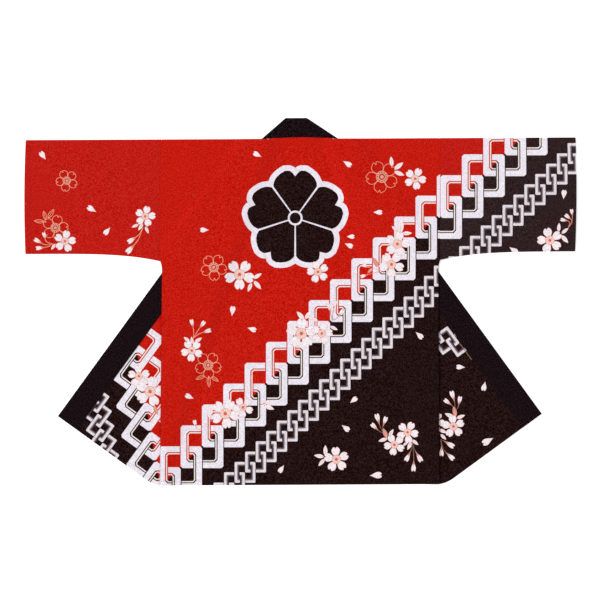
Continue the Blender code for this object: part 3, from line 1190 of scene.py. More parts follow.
@dataclass
class Panel:
    """A printed panel: cut flat along its print, and laid over the coat's form.

    Attributes:
        name: the piece's name, which is its node's with the word cloth.
        node: the frame's node that it stands for.
        slot: the record's slot; not used.
        sheet: the print.
        rises: soft ridges.
        flat: width and length of the cut in metres; not used.
        side: 1 on the wearer's right, -1 on the left.
        rests_on: the pieces that it lies on; not used.
        held: what keeps it in its shape; not used.
        cut_area: area of the cut in square metres, once it is cut.
    """

    name: str
    node: str
    slot: str
    sheet: Print
    rises: Sequence[Rise] = ()
    flat: tuple[float, float] = (1.0, 1.0)
    side: int = 1
    rests_on: Sequence[str] = ()
    held: str = "laid"
    cut_area: float = 0.0

    def outline(self) -> list[Vector]:
        """The panel's outline as cut, on the page."""
        raise NotImplementedError

    def guides(self) -> list[list[Vector]]:
        """Lines along which the cut is divided, so that rolls and folds come out round."""
        return []

    def lay(self, place: Vector) -> Vector:
        """Where a place of the flat cut comes to lie."""
        raise NotImplementedError

    def shade(self, place: Vector) -> float:
        """How much of its brightness the dye keeps at a place of the flat cut: below 1 where painted shade
        darkens it.
        """
        return 1.0

    def lift(self, x: float, y: float) -> float:
        """How far the soft ridges lift the cloth at a page place."""
        return sum(rise.height_at(x, y) for rise in self.rises)

    def sewn(self, line: Sequence[Vector]) -> list[Vector]:
        """Points on the laid cloth along a line of the flat cut."""
        return [self.lay(point) for point in paced(line)]

    def build(self) -> bpy.types.Object:
        """Cuts, lays and thickens the panel.

        No bmesh operator divides a sheet along hundreds of outlines at once, so the cut is made by
        Blender's constrained triangulation, and the wall by Solidify.

        Returns:
            The finished piece.
        """
        outline = self.outline()
        points, triangles, dyes = self.cut(outline)
        mesh = bpy.data.meshes.new(self.name)
        mesh.from_pydata([self.lay(point) for point in points], [], triangles)
        colours = mesh.color_attributes.new("dye", "FLOAT_COLOR", "CORNER")
        values: list[float] = []
        # Each triangle's dye, darkened by the panel's painted shade.
        for corners, dye in zip(triangles, dyes):
            shade = self.shade(sum((points[corner] for corner in corners), Vector((0.0, 0.0))) / 3)
            values.extend([*(part * shade for part in dye.linear()[:3]), 1.0] * 3)
        colours.data.foreach_set("color", values)
        piece = add_piece(self.name, mesh, (PRINTED, REVERSE))
        wall = piece.modifiers.new("wall", "SOLIDIFY")
        wall.thickness = WALL
        wall.offset = -1.0
        wall.use_rim = True
        wall.material_offset = 1
        self.set_shape(piece)
        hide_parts(self.node)
        log.info("%s: %d triangles", self.name, len(piece.data.polygons))
        return piece

    def declare(self, piece: bpy.types.Object, with_pieces: Sequence[bpy.types.Object]) -> None:
        """Takes the finished panel and the pieces sewn on it, and does nothing with them.

        Args:
            piece: the finished panel; not used.
            with_pieces: the pieces sewn on it; not used.
        """

    def set_shape(self, piece: bpy.types.Object) -> None:
        """Applies the wall and shades it smooth but for its edges."""
        bpy.context.view_layer.update()
        evaluated = piece.evaluated_get(bpy.context.evaluated_depsgraph_get())
        made = bpy.data.meshes.new_from_object(evaluated)
        made.name = self.name
        piece.modifiers.clear()
        piece.data = made
        made.shade_smooth()
        made.set_sharp_from_angle(angle=SHARP_ANGLE)

    def cut(self, outline: Sequence[Vector]) -> tuple[list[Vector], list[tuple[int, ...]], list[Dye]]:
        """Divides the flat cut along its print.

        Args:
            outline: the panel's outline.

        Returns:
            The points, the triangles and each triangle's dye.
        """
        low, high = span(outline)
        verts: list[Vector] = []
        faces: list[list[int]] = []
        edges: list[tuple[int, int]] = []
        inks = [self.sheet.ground]
        self.add_outline(verts, faces, outline)
        for shape, dye in self.sheet.shapes:
            near, far = span(shape)
            if far.x < low.x or near.x > high.x or far.y < low.y or near.y > high.y:
                continue
            self.add_outline(verts, faces, shape)
            inks.append(dye)
        for line in self.guides():
            start = len(verts)
            verts.extend(line)
            edges.extend((start + n, start + n + 1) for n in range(len(line) - 1))
        across, up = math.ceil((high.x - low.x) / GRID), math.ceil((high.y - low.y) / GRID)
        for row in range(1, up):
            shift = STAGGER if row % 2 else -STAGGER
            for column in range(1, across):
                verts.append(Vector((
                    low.x + (column + shift) * (high.x - low.x) / across,
                    low.y + row * (high.y - low.y) / up,
                )))
        places, _, cells, _, _, sources = delaunay_2d_cdt(verts, edges, faces, 0, CUT_TOLERANCE, True)
        kept = [(corners, max(shapes)) for corners, shapes in zip(cells, sources) if 0 in shapes]
        used = sorted({corner for corners, _ in kept for corner in corners})
        number = {old: new for new, old in enumerate(used)}
        points = [places[old] for old in used]
        triangles = [tuple(number[corner] for corner in corners) for corners, _ in kept]
        self.cut_area = sum(signed_area([points[corner] for corner in corners]) for corners in triangles)
        return points, triangles, [inks[top] for _, top in kept]

    @staticmethod
    def add_outline(verts: list[Vector], faces: list[list[int]], outline: Sequence[Vector]) -> None:
        """Adds an outline to the cutting lists, anticlockwise."""
        start = len(verts)
        verts.extend(outline if signed_area(outline) > 0 else list(outline)[::-1])
        faces.append(list(range(start, len(verts))))


def paced(points: Sequence[Vector], step: float = GRID) -> list[Vector]:
    """A line with points added so that no stretch is longer than a step."""
    line = [points[0]]
    for start, end in zip(points, points[1:]):
        count = max(1, math.ceil((end - start).length / step))
        line.extend(start.lerp(end, n / count) for n in range(1, count + 1))
    return line


@dataclass
class BackPanel(Panel):
    """The back: one panel from the hem to the shoulders, turned over at them."""

    def outline(self) -> list[Vector]:
        """The cut, with the shoulder turnings and the rolled side edges."""
        across = spread(NECK_HALF_WIDTH, -NECK_HALF_WIDTH, NECK_COLUMNS)[1:-1]
        neck = [Vector((x, neckline_y(x) + SEWN_IN)) for x in across]
        right = [
            Vector((ROLLED_SIDE, HEM_Y)),
            Vector((ROLLED_SIDE, BACK_TOP)),
            Vector((NECK_HALF_WIDTH, BACK_TOP)),
            Vector((NECK_HALF_WIDTH, TURN_Y)),
        ]
        return paced([*right, *neck, *mirrored(right[::-1]), right[0]])[:-1]

    def guides(self) -> list[list[Vector]]:
        """Lines round the rolled sides, round the shoulder turnings and along the hem's edge."""
        lines = []
        for hand in (-1, 1):
            for share in spread(0.0, 1.0, ROLL_STEPS)[:-1]:
                x = hand * (ROLL_START + ROLL * math.pi / 2 * share)
                lines.append([Vector((x, HEM_Y + GRID / 2)), Vector((x, TURN_Y - GRID / 2))])
            for share in spread(0.0, 1.0, ARC_STEPS):
                y = TURN_Y + ROLL * math.pi * share
                ends = (NECK_HALF_WIDTH + GRID / 4, ROLL_START - GRID / 4)
                lines.append([Vector((hand * x, y)) for x in ends])
        for depth in HEM_LINES:
            lines.append([Vector((hand * (ROLL_START - GRID), HEM_Y + depth)) for hand in (-1, 1)])
        return [paced(line) for line in lines]

    def shade(self, place: Vector) -> float:
        """Painted shade: darker along the rolled side seams, as if in the roll's shadow."""
        return ROLLED_EDGE_PAINTED_SHADE if abs(place.x) > ROLL_START and place.y < ARMPIT_Y else 1.0

    def lay(self, place: Vector) -> Vector:
        """Lays the back over the fronts, turned under at the shoulders and rolled in at the sides."""
        x, y = abs(place.x), place.y
        hand = math.copysign(1.0, place.x)
        if y > TURN_Y and x > NECK_HALF_WIDTH - SEAM_GAP:
            aside = hand * rolled_in(x)
            angle = (y - TURN_Y) / ROLL
            if angle < math.pi:
                height = front_height(x, TURN_Y) + ROLL + ROLL * math.cos(angle)
                return Vector((aside, TURN_Y + ROLL * math.sin(angle), height))
            end = TURN_Y - (y - TURN_Y - ROLL * math.pi)
            return Vector((aside, end, front_height(x, end)))
        height = back_height(x, y) + CLOTH + self.lift(place.x, y)
        height += HEM_LIFT * smooth((HEM_Y + HEM_DEPTH - y) / HEM_EASE)
        height -= rolled_depth(x, y)
        return Vector((hand * (rolled_in(x) - side_draw(x, y)), y, height))


@dataclass
class FrontPanel(Panel):
    """A front: under the back to the fold line, round the fold, and out as the wing.

    Attributes:
        inner_roll: radius that the cloth's face has in the fold.
    """

    inner_roll: float = (FRONT_LIFT - CLOTH) / 2

    def on_fold(self, y: float) -> Vector:
        """A point of the fold line, on the right."""
        return Vector((NECK_HALF_WIDTH + FOLD_DRAW + (SHOULDER_Y - y) * math.tan(FOLD_ANGLE), y))

    def outward(self, place: Vector) -> float:
        """Distance of a page place from the fold line, on the right, positive towards the wing."""
        return (place - self.on_fold(SHOULDER_Y)).dot(FOLD_NORMAL)

    def unfold(self, x: float, y: float) -> Vector:
        """Place in the flat cut of a page place of the upper layer, on the right."""
        place = Vector((x, y))
        return place - FOLD_NORMAL * (2 * self.outward(place) + math.pi * self.inner_roll)

    def outline(self) -> list[Vector]:
        """The cut: the wing, and the upper layer turned out across the fold line."""
        corner = SEAM_CORNER + SEWN_IN * WING_ALONG
        inner = fold_x(FOLD_FOOT_Y)
        run = (corner.x - inner) / WING_ALONG.x
        hem = [corner - WING_ALONG * distance for distance in spread(0.0, run, HEM_COLUMNS)[1:]]
        foot, knee, head = (self.on_fold(y) for y in (FOLD_FOOT_Y, FOLD_TOP_Y, FRONT_TOP))
        line = [
            knee,
            corner + (FOLD_TOP_Y - HEM_Y) * WING_UP,
            corner,
            *(Vector((point.x, self.eased(point.y))) for point in hem),
            Vector((inner, FOLD_FOOT_Y - CLOTH)),
            foot,
            self.unfold(foot.x, foot.y),
            self.unfold(ROLLED_SIDE, foot.y),
            self.unfold(ROLLED_SIDE, FRONT_TOP),
            self.unfold(head.x, head.y),
            self.unfold(knee.x, knee.y),
            knee,
        ]
        return mirrored(paced(line)[:-1], self.side)

    @staticmethod
    def eased(y: float) -> float:
        """A height on the wing's hem, held at the body's hem with a round corner between them."""
        below = HEM_Y - y
        if below >= HEM_CORNER_EASE:
            return HEM_Y
        return y + max(0.0, below + HEM_CORNER_EASE) ** 2 / (4 * HEM_CORNER_EASE)

    def guides(self) -> list[list[Vector]]:
        """Lines round the fold, round the rolled side edge and along the hem's edge."""
        lines = []
        high, low = self.on_fold(FOLD_TOP_Y - GRID / 4), self.on_fold(FOLD_FOOT_Y + GRID / 4)
        for share in spread(0.0, 1.0, ARC_STEPS):
            inwards = FOLD_NORMAL * math.pi * self.inner_roll * share
            lines.append([high - inwards, low - inwards])
        for share in spread(0.0, 1.0, ROLL_STEPS)[:-1]:
            x = ROLL_START + ROLL * math.pi / 2 * share
            lines.append([self.unfold(x, FOLD_FOOT_Y + GRID / 4), self.unfold(x, FRONT_TOP - GRID / 4)])
        for depth in HEM_LINES:
            start = SEAM_CORNER + WING_UP * depth - WING_ALONG * GRID / 4
            lines.append([start, start - WING_ALONG * (FOLD_HEM_X - COLLAR_SEAM_HALF - 2 * GRID)])
        return [mirrored(paced(line), self.side) for line in lines]

    def lay(self, place: Vector) -> Vector:
        """Lays the wing on the floor, and folds what is inside the fold line back over it."""
        flat = Vector((self.side * place.x, place.y))
        out = self.outward(flat)
        below_fold = flat.y < FOLD_FOOT_Y - SEAM_GAP / 2 and flat.x > fold_x(FOLD_FOOT_Y) - SEAM_GAP / 4
        if out >= 0 or below_fold:
            above_hem = (flat - SEAM_CORNER).dot(WING_UP)
            height = CLOTH + self.lift(place.x, place.y) * smooth(out / RISE_FADE)
            height += HEM_LIFT * smooth((HEM_DEPTH - above_hem) / HEM_EASE)
            return Vector((place.x, place.y, height))
        foot = flat - FOLD_NORMAL * out
        angle = -out / self.inner_roll
        if angle < math.pi:
            plan = foot - FOLD_NORMAL * self.inner_roll * math.sin(angle)
            height = CLOTH + self.inner_roll * (1 - math.cos(angle))
        else:
            plan = foot + FOLD_NORMAL * (-out - math.pi * self.inner_roll)
            height = front_height(plan.x, plan.y) + rolled_depth(plan.x, plan.y)
            plan.x = rolled_in(plan.x) - side_draw(plan.x, plan.y)
        return Vector((self.side * plan.x, plan.y, height))


@dataclass
class SleevePanel(Panel):
    """A sleeve: one flattened tube, folded along the top and sewn along the bottom.

    Attributes:
        start: distance of its seam edge from the middle of the coat.
        end: distance of its cuff's edge from there, at the fold and at the seam.
    """

    start: float = BODY_HALF_WIDTH - SEWN_IN
    end: float = SLEEVE_REACH - CUFF_BOW

    def outline(self) -> list[Vector]:
        """The upper half of the cut, from the bottom seam to the middle of the top fold."""
        near = ROLL * math.pi / 2 - SEAM_GAP / 6
        xs = spread(self.start, self.end, SLEEVE_COLUMNS)
        lower = [Vector((x, sleeve_low(x) - near)) for x in xs]
        upper = [Vector((x, SLEEVE_FOLD)) for x in xs[::-1]]
        return mirrored(paced([*lower, *upper, lower[0]])[:-1], self.side)

    def guides(self) -> list[list[Vector]]:
        """Lines round the top fold, into the bottom seam, and along the cuff and the armhole."""
        lines = []
        inset = GRID / 8
        xs = spread(self.start + inset, self.end - inset, SLEEVE_COLUMNS)
        for share in spread(0.0, 0.5, ARC_STEPS // 2)[:-1]:
            lines.append([Vector((x, TURN_Y + ROLL * math.pi * share)) for x in xs])
        for share in spread(0.0, 1.0, ROLL_STEPS)[:-1]:
            near = ROLL * math.pi / 2 * share
            lines.append([Vector((x, sleeve_low(x) - near)) for x in xs])
        for x in (
            self.start + SEAM_EASE,
            self.start + SEAM_EASE / 2,
            self.end - HEM_DEPTH + HEM_EASE,
            self.end - HEM_DEPTH + HEM_EASE / 2,
            self.end - HEM_DEPTH,
        ):
            lines.append(paced([Vector((x, sleeve_low(x) + inset)), Vector((x, TURN_Y - inset))]))
        return [mirrored(line, self.side) for line in lines]

    def cut(self, outline: Sequence[Vector]) -> tuple[list[Vector], list[tuple[int, ...]], list[Dye]]:
        """Cuts the upper half, and turns it over along the top fold for the lower one.

        Args:
            outline: the outline of the upper half.

        Returns:
            The points, the triangles and each triangle's dye.
        """
        points, triangles, dyes = super().cut(outline)
        twins = []
        for index, point in enumerate(list(points)):
            if point.y > SLEEVE_FOLD - FOLD_TOLERANCE:
                twins.append(index)
            else:
                twins.append(len(points))
                points.append(Vector((point.x, 2 * SLEEVE_FOLD - point.y)))
        turned_over = [tuple(twins[corner] for corner in corners[::-1]) for corners in triangles]
        self.cut_area *= 2
        return points, triangles + turned_over, dyes + dyes

    def lay(self, place: Vector) -> Vector:
        """Lays the upper layer, the fold and the lower layer as one flattened tube."""
        x, y = self.side * place.x, place.y
        out = (x - self.start) / (self.end - self.start)
        low = sleeve_low(x)
        under = y > SLEEVE_FOLD
        if under:
            y = 2 * SLEEVE_FOLD - y
        beyond = max(0.0, y - TURN_Y) / ROLL
        before = max(0.0, low - y) / ROLL
        page_y = min(TURN_Y, max(low, y))
        level = math.cos(beyond) * math.cos(before)
        height = sleeve_height(x, page_y) + ROLL + (-ROLL if under else ROLL) * level
        dip = SLEEVE_DIP * (1 - smooth((x - self.start) / SEAM_EASE))
        if under:
            height += dip
        else:
            loft = SLEEVE_LOFT * out * math.sin(math.pi * (page_y - low) / (TURN_Y - low))
            hem = HEM_LIFT * smooth((x - self.end + HEM_DEPTH) / HEM_EASE)
            height += (loft + hem - dip + self.lift(place.x, page_y)) * level
        middle = (2 * page_y - TURN_Y - low) / (TURN_Y - low)
        page_y += ROLL * math.sin(beyond) - ROLL * math.sin(before)
        bow = CUFF_BOW * out**3 * (1 - middle * middle)
        return Vector((self.side * (x + bow), page_y, height))


class BandStation(NamedTuple):
    """A section of the collar band: its free edge, its seam edge and its thickness."""

    free: Vector
    seam: Vector
    thick: float


@dataclass
class CollarBand:
    """The doubled collar band along both wings and round the neck.

    Attributes:
        name: the piece's name.
        columns: how many steps its width has.
        pace: distance between sections in metres.
        crown: how far its middle is fuller than its edges.
        neck_steps: sections round the neck between the corners of the outline.
        turn_steps: sections on each of the two stretches where the wing's band turns to the neck's.
        corners: places of the corners of its free edge round the neck.
        thickness: shares of the way round the neck, each with the band's thickness there.
    """

    name: str = "collar_cloth"
    columns: int = 8
    pace: float = 0.009
    crown: float = 0.00015
    neck_steps: tuple[int, int, int] = (12, 10, 14)
    turn_steps: int = 8
    corners: tuple[tuple[float, float], ...] = (
        (-0.090, SHOULDER_Y + SEAM_GAP),
        (-0.035, COLLAR_TOP_Y),
        (0.014, COLLAR_TOP_Y),
        (0.086, SHOULDER_Y + SEAM_GAP),
    )
    thickness: tuple[tuple[float, float], ...] = (
        (0.00, COLLAR_THICK),
        (0.14, 0.0038),
        (0.30, 0.0042),
        (0.50, 0.0030),
        (0.70, 0.0042),
        (0.86, 0.0038),
        (1.00, COLLAR_THICK),
    )

    def wing_stations(self, side: int) -> list[BandStation]:
        """Sections on one wing, from the hem to the shoulder."""
        turn = (COLLAR_SEAM_HALF - NECK_HALF_WIDTH) / math.tan(FOLD_ANGLE)
        run = BODY_LENGTH - turn
        stations = [
            (WING_CORNER + distance * WING_UP, SEAM_CORNER + distance * WING_UP)
            for distance in spread(0.0, run, math.ceil(run / self.pace))
        ]
        draw_in = (BAND_DRAW_IN_Y - WING_CORNER.y) / WING_UP.y
        halfway_y = SHOULDER_Y - turn / 2
        halfway = (WING_CORNER + draw_in * WING_UP, Vector((fold_x(halfway_y), halfway_y)))
        neck = self.neck_stations()
        first = neck[0] if side < 0 else neck[-1]
        shoulder = mirrored((first.free, first.seam), side)
        for start, end in ((stations[-1], halfway), (halfway, shoulder)):
            for n in range(1, self.turn_steps + 1):
                stations.append(tuple(a.lerp(b, n / self.turn_steps) for a, b in zip(start, end)))
        return [BandStation(*mirrored(edges, side), COLLAR_THICK) for edges in stations[:-1]]

    def neck_stations(self) -> list[BandStation]:
        """Sections round the neck, left to right."""
        stations = []
        stretches = len(self.neck_steps)
        for stretch, steps in enumerate(self.neck_steps):
            for step in range(steps + (stretch == stretches - 1)):
                share = (stretch + step / steps) / stretches
                first, second = (Vector(self.corners[stretch + n]) for n in (0, 1))
                x = -NECK_HALF_WIDTH * math.cos(math.pi * share)
                seam = Vector((x, neckline_y(x) + SEAM_GAP))
                stations.append(BandStation(first.lerp(second, step / steps), seam, self.thick_at(share)))
        return stations

    def thick_at(self, share: float) -> float:
        """The band's thickness a share of the way round the neck."""
        for (low, first), (high, second) in zip(self.thickness, self.thickness[1:]):
            if share <= high:
                return first + (second - first) * smooth((share - low) / (high - low))
        return COLLAR_THICK

    def section(self, station: BandStation) -> list[Vector]:
        """Points round one section: flat below, round at the free edge and eased at the seam."""
        across = station.free - station.seam
        width = across.length
        across = across / width
        radius = station.thick / 2
        ring = []

        def point(distance: float, height: float) -> None:
            """Adds a point at a distance from the seam edge."""
            plan = station.seam + across * distance
            ring.append(Vector((plan.x, plan.y, height)))

        ease = radius / 2
        for angle in spread(-math.pi / 2, 0.0, 3):
            point(ease * (1 + math.sin(angle)), station.thick - ease * (1 - math.cos(angle)))
        for share in spread(0.0, 1.0, self.columns)[1:-1]:
            distance = ease + (width - radius - ease) * share
            point(distance, station.thick + self.crown * math.sin(math.pi * share))
        for angle in spread(math.pi / 2, -math.pi / 2, ARC_STEPS):
            point(width - radius + radius * math.cos(angle), radius + radius * math.sin(angle))
        for share in spread(1.0, 0.0, self.columns)[1:]:
            point((width - radius) * share, 0.0)
        return ring

    def stations(self) -> list[BandStation]:
        """All sections, from the left wing's hem to the right wing's."""
        return [*self.wing_stations(-1), *self.neck_stations(), *self.wing_stations(1)[::-1]]

    def build(self) -> bpy.types.Object:
        """Bridges the sections into the closed band."""
        mesh = bmesh.new()
        rings = []
        for station in self.stations():
            verts = [mesh.verts.new(point) for point in self.section(station)]
            rings.append([mesh.edges.new((a, b)) for a, b in zip(verts, [*verts[1:], verts[0]])])
        for first, second in zip(rings, rings[1:]):
            bmesh.ops.bridge_loops(mesh, edges=first + second)
        bmesh.ops.contextual_create(mesh, geom=rings[0])
        bmesh.ops.contextual_create(mesh, geom=rings[-1])
        bmesh.ops.recalc_face_normals(mesh, faces=mesh.faces)
        data = finished(self.name, mesh)
        data.shade_smooth()
        data.set_sharp_from_angle(angle=SHARP_ANGLE)
        piece = add_piece(self.name, data, (COLLAR_CLOTH,))
        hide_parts("collar")
        log.info("%s: %d faces", self.name, len(data.polygons))
        return piece

    def length(self) -> float:
        """Length of the band along its middle."""
        middles = [(station.free + station.seam) / 2 for station in self.stations()]
        return sum((b - a).length for a, b in zip(middles, middles[1:]))


@dataclass
class Stitching:
    """A row of machine stitches along a line on the cloth.

    Attributes:
        name: the piece's name.
        lines: lines through points on the surface.
        thread: the thread's finish.
        slot: the record's slot; not used.
        pitch: distance from stitch to stitch.
        length: length of one stitch.
        width: width of the thread.
    """

    name: str
    lines: Sequence[Sequence[Vector]]
    thread: ClothFinish
    slot: str
    pitch: float = 0.0031
    length: float = 0.0023
    width: float = 0.0006

    def build(self) -> bpy.types.Object:
        """Sets one rounded stitch after another along each line."""
        mesh = bmesh.new()
        for line in self.lines:
            for place, along in self.paces(line):
                turn = along.to_track_quat("X", "Z").to_matrix().to_4x4()
                size = Matrix.Diagonal((self.length / 2, self.width / 2, self.width / 3, 1.0))
                bmesh.ops.create_icosphere(
                    mesh, subdivisions=1, radius=1.0, matrix=Matrix.Translation(place) @ turn @ size
                )
        data = finished(self.name, mesh)
        data.shade_smooth()
        piece = add_piece(self.name, data, (self.thread,))
        log.info("%s: %d faces", self.name, len(data.polygons))
        return piece

    def paces(self, line: Sequence[Vector]) -> list[tuple[Vector, Vector]]:
        """Places and directions one pitch apart along a line."""
        found = []
        due = self.pitch / 2
        for start, end in zip(line, line[1:]):
            run = (end - start).length
            while due < run:
                found.append((start.lerp(end, due / run), (end - start).normalized()))
                due += self.pitch
            due -= run
        return found


@dataclass(frozen=True)
class Studio:
    """The floor, the lights and the camera.

    Attributes:
        page_width: width of the page that the camera sees, in metres.
        height: height of the camera.
        sensor: width of its sensor in mm.
        sky: strength of the even light from all round.
        lamp: strength of the low lamp on the left, far enough away to light the whole coat alike.
        lamp_from: direction from the coat to that lamp.
        lamp_spread: how wide that lamp looks from the coat, which softens its shadows.
        glow: strength of the floor's own even light, like a light table's.
        floor_half: half the floor's width.
        sight: how far the camera sees.
    """

    page_width: float = 1.3872
    height: float = 6.0
    sensor: float = 36.0
    sky: float = 0.62
    lamp: float = 2.10
    lamp_from: tuple[float, float, float] = (-0.74, 0.20, 0.64)
    lamp_spread: float = math.radians(14)
    glow: float = 0.45
    floor_half: float = 12.0
    sight: float = 50.0

    def build(self) -> None:
        """Makes the floor, the world's light, the lamp and the camera."""
        self.floor()
        world = bpy.data.worlds.new("studio")
        world.use_nodes = True
        world.node_tree.nodes["Background"].inputs["Color"].default_value = (1.0, 1.0, 1.0, 1.0)
        world.node_tree.nodes["Background"].inputs["Strength"].default_value = self.sky
        bpy.context.scene.world = world
        light = bpy.data.lights.new("low_lamp", "SUN")
        light.energy = self.lamp
        light.angle = self.lamp_spread
        lamp = bpy.data.objects.new("low_lamp", light)
        lamp.rotation_euler = (-Vector(self.lamp_from)).to_track_quat("-Z", "Y").to_euler()
        bpy.context.scene.collection.objects.link(lamp)
        self.camera()
        bpy.context.scene.view_settings.view_transform = "Standard"

    def floor(self) -> None:
        """A plain pale floor just under the coat."""
        mesh = bmesh.new()
        bmesh.ops.create_grid(mesh, x_segments=1, y_segments=1, size=self.floor_half)
        bmesh.ops.translate(mesh, verts=mesh.verts, vec=(0.0, 0.0, -SEAM_GAP))
        data = finished("floor", mesh)
        floor = bpy.data.objects.new("floor", data)
        bpy.context.scene.collection.objects.link(floor)
        pale = bpy.data.materials.new("pale_floor")
        pale.use_nodes = True
        shader = pale.node_tree.nodes["Principled BSDF"]
        shader.inputs["Base Color"].default_value = (0.97, 0.97, 0.97, 1.0)
        shader.inputs["Roughness"].default_value = 0.9
        shader.inputs["Specular IOR Level"].default_value = 0.1
        shader.inputs["Emission Color"].default_value = (1.0, 1.0, 1.0, 1.0)
        shader.inputs["Emission Strength"].default_value = self.glow
        data.materials.append(pale)

    def camera(self) -> None:
        """A long lens looking straight down."""
        data = bpy.data.cameras.new("overhead")
        data.sensor_width = self.sensor
        data.lens = self.sensor * self.height / self.page_width
        data.clip_end = self.sight
        eye = bpy.data.objects.new("overhead", data)
        eye.location = (*VIEW_CENTRE, self.height)
        bpy.context.scene.collection.objects.link(eye)
        bpy.context.scene.camera = eye


# Places of the motifs, in mm and degrees, in the order in which they are laid down.
BACK_MOTIFS = (
    LineBloom(188.4, 289, 75, 44),
    LineBloom(-200.2, 80, 62, -86),
    Leaf(-220.3, -170.2, 201.5, 23.4, Dye.RED),
    Leaf(-212.5, -172.9, 274, 24, Dye.RED),
    Leaf(-207.2, -172, 327, 22, Dye.RED),
    LineBloom(-213.2, -146.3, 62, 57),
    Petal(-99.6, 340.1, 332, 20.5),
    Petal(-221.7, 166.2, 0, 20),
    Petal(108.4, 319.5, 148.5, 21.7),
    Petal(179, 207, 180, 20.4),
    Petal(116, 151, 180, 18),
    Petal(112, 131, 155, 20),
    Petal(-157, -21, 263, 22.7),
    Petal(-112, -63, 162, 21),
    Petal(-256.4, -219.2, 335, 21),
    Petal(275.4, -77.2, 139, 22),
    Petal(123, -227, 218.6, 20),
    Petal(104.5, -291.5, 143.5, 21.7),
    Petal(-43.9, -386, 56, 20),
    Petal(174.4, -400.7, 183, 27.7),
    Leaf(211.8, 312.8, 96, 23),
    Leaf(217.3, 306.3, 38, 25.4),
    Leaf(217.3, 301.3, 338.6, 24),
    Bloom(265.2, 284.8, 50, 65),
    Bloom(40.5, 69.4, 50, 32),
    Leaf(-108.4, 54.1, 32, 21.8),
    Leaf(-107.3, 48.3, 311, 24.6),
    Leaf(-113, 43.7, 247.6, 21.3),
    Bloom(-140.8, 63.3, 69, -90),
    Bud(-250, -50.4, 104, -247.2, -83.5, 20),
    Bud(-227.3, -53.2, 53.6, -247.2, -83.5, 20.7),
    Bud(-217.3, -68, 16.5, -247.2, -83.5, 22),
    Leaf(-255, -92.9, 141, 18.4),
    Leaf(-248.8, -97.3, 100, 17),
    Leaf(-244.4, -93.9, 34, 19.8),
    Bloom(-251, -112.4, 50, 49),
    Leaf(231.4, 159.3, 88, 34),
    Leaf(225.7, 162.8, 140, 18.7),
    Leaf(234.9, 158.1, 2.4, 22.4),
    Bloom(224, 133.6, 58, 5),
    Bud(151, 83, 156, 180, 75, 18, Dye.SALMON),
    Bud(147.7, 60.6, 197, 185, 70, 18, Dye.SALMON),
    Leaf(165.5, 76.5, 225, 14, None, Dye.SALMON),
    Leaf(180, 80, 120, 27, None, Dye.SALMON),
    Bloom(210.4, 86.7, 58, 54),
    Bud(68, -15, 100, 73.8, -42.5, 22, Dye.TWIG),
    Bud(93, -27, 52, 73.8, -42.5, 22, Dye.TWIG),
    Bud(78, -8, 80, 73.8, -42.5, 22, Dye.TWIG),
    Leaf(8.6, -40.5, 133, 24.7),
    Leaf(10.6, -39.3, 50, 24.7),
    Leaf(19, -39, 350, 22),
    Leaf(68.4, -56.2, 334, 19.2),
    Bloom(2.3, -73.3, 70, 16),
    Bloom(49.5, -73, 50, 5),
    Bud(-79.8, -233.2, 20, -100, -238, 18, Dye.TWIG),
    Leaf(-84.2, -239, 338, 25),
    Leaf(-205.5, -272.1, 113, 22),
    Leaf(-205.5, -262, 101, 22),
    Bloom(-173.8, -258.3, 68, 63),
    Bloom(-132.5, -243.9, 47, 49),
    Bud(-243.1, -282.3, 105, -204.2, -273.6, 18.5),
    Bud(179.2, -271.2, 106, 193.3, -304.3, 25.5, Dye.TWIG),
    Bud(194.7, -276.3, 71, 193.3, -304.3, 22.5, Dye.TWIG),
    Bud(172, -289.2, 136.5, 193.3, -304.3, 22, Dye.TWIG),
    Leaf(200, -314, 112, 23, None, Dye.SALMON),
    Leaf(200.9, -315.8, 197, 21),
    Leaf(204.8, -311, 59, 19.4),
    Leaf(237.7, -332.2, 39.5, 13.8),
    Leaf(257.8, -318.7, 322, 18.8),
    Leaf(257.3, -322.5, 243, 21.5),
    Bud(248.8, -357.2, 243.4, 257.8, -320.7, 23.8, Dye.TWIG),
    Bud(261.7, -379.2, 268, 257.8, -320.7, 24.5, Dye.TWIG),
    Bud(273.5, -357.7, 301, 257.8, -320.7, 25.8, Dye.TWIG),
    Bloom(247.6, -301.4, 50, -10),
    Bloom(217.4, -330.3, 48, -28),
    Leaf(54.4, -357.9, 172, 22.7),
    Leaf(58.3, -355.4, 92, 23.8),
    Leaf(55.7, -363, 230, 20.8),
    Bloom(83.2, -364.1, 57, 23),
)
LEFT_SLEEVE_MOTIFS = (
    Petal(-594.2, 338, 306, 21.7),
    Petal(-481.8, 214.1, 329, 23),
    Petal(-446.5, 163.7, 50, 20.8),
    LineBloom(-538.9, 280.2, 51, 44, Dye.SLEEVE_RED),
    Leaf(-590, 185.2, 174.6, 24.4, Dye.SLEEVE_RED),
    Leaf(-586.8, 188.7, 103, 23, Dye.SLEEVE_RED),
    Leaf(-582.2, 193.3, 56, 25.7, Dye.SLEEVE_RED),
    LineBloom(-565.3, 171.1, 60, 76, Dye.SLEEVE_RED),
    Bud(-604.3, 139.7, 149.7, -572, 132.7, 22),
    Bud(-600.3, 124.9, 186, -576.6, 130, 21),
    Bud(-590.5, 151.7, 103.5, -571, 133.5, 18),
    Leaf(-566, 134, 235, 16),
    Bloom(-543.8, 140.1, 49.5, 6),
    Bud(-388.2, 144.3, 213.5, -363.5, 171.6, 24.7),
    Bud(-391.9, 123.5, 227, -363.5, 171.6, 28),
    Leaf(-373.9, 178.9, 202, 16.7),
    Leaf(-364.1, 180.8, 236, 18.3),
    Leaf(-358.1, 174.1, 294, 17),
    Bloom(-358.6, 197.7, 47, 5),
)
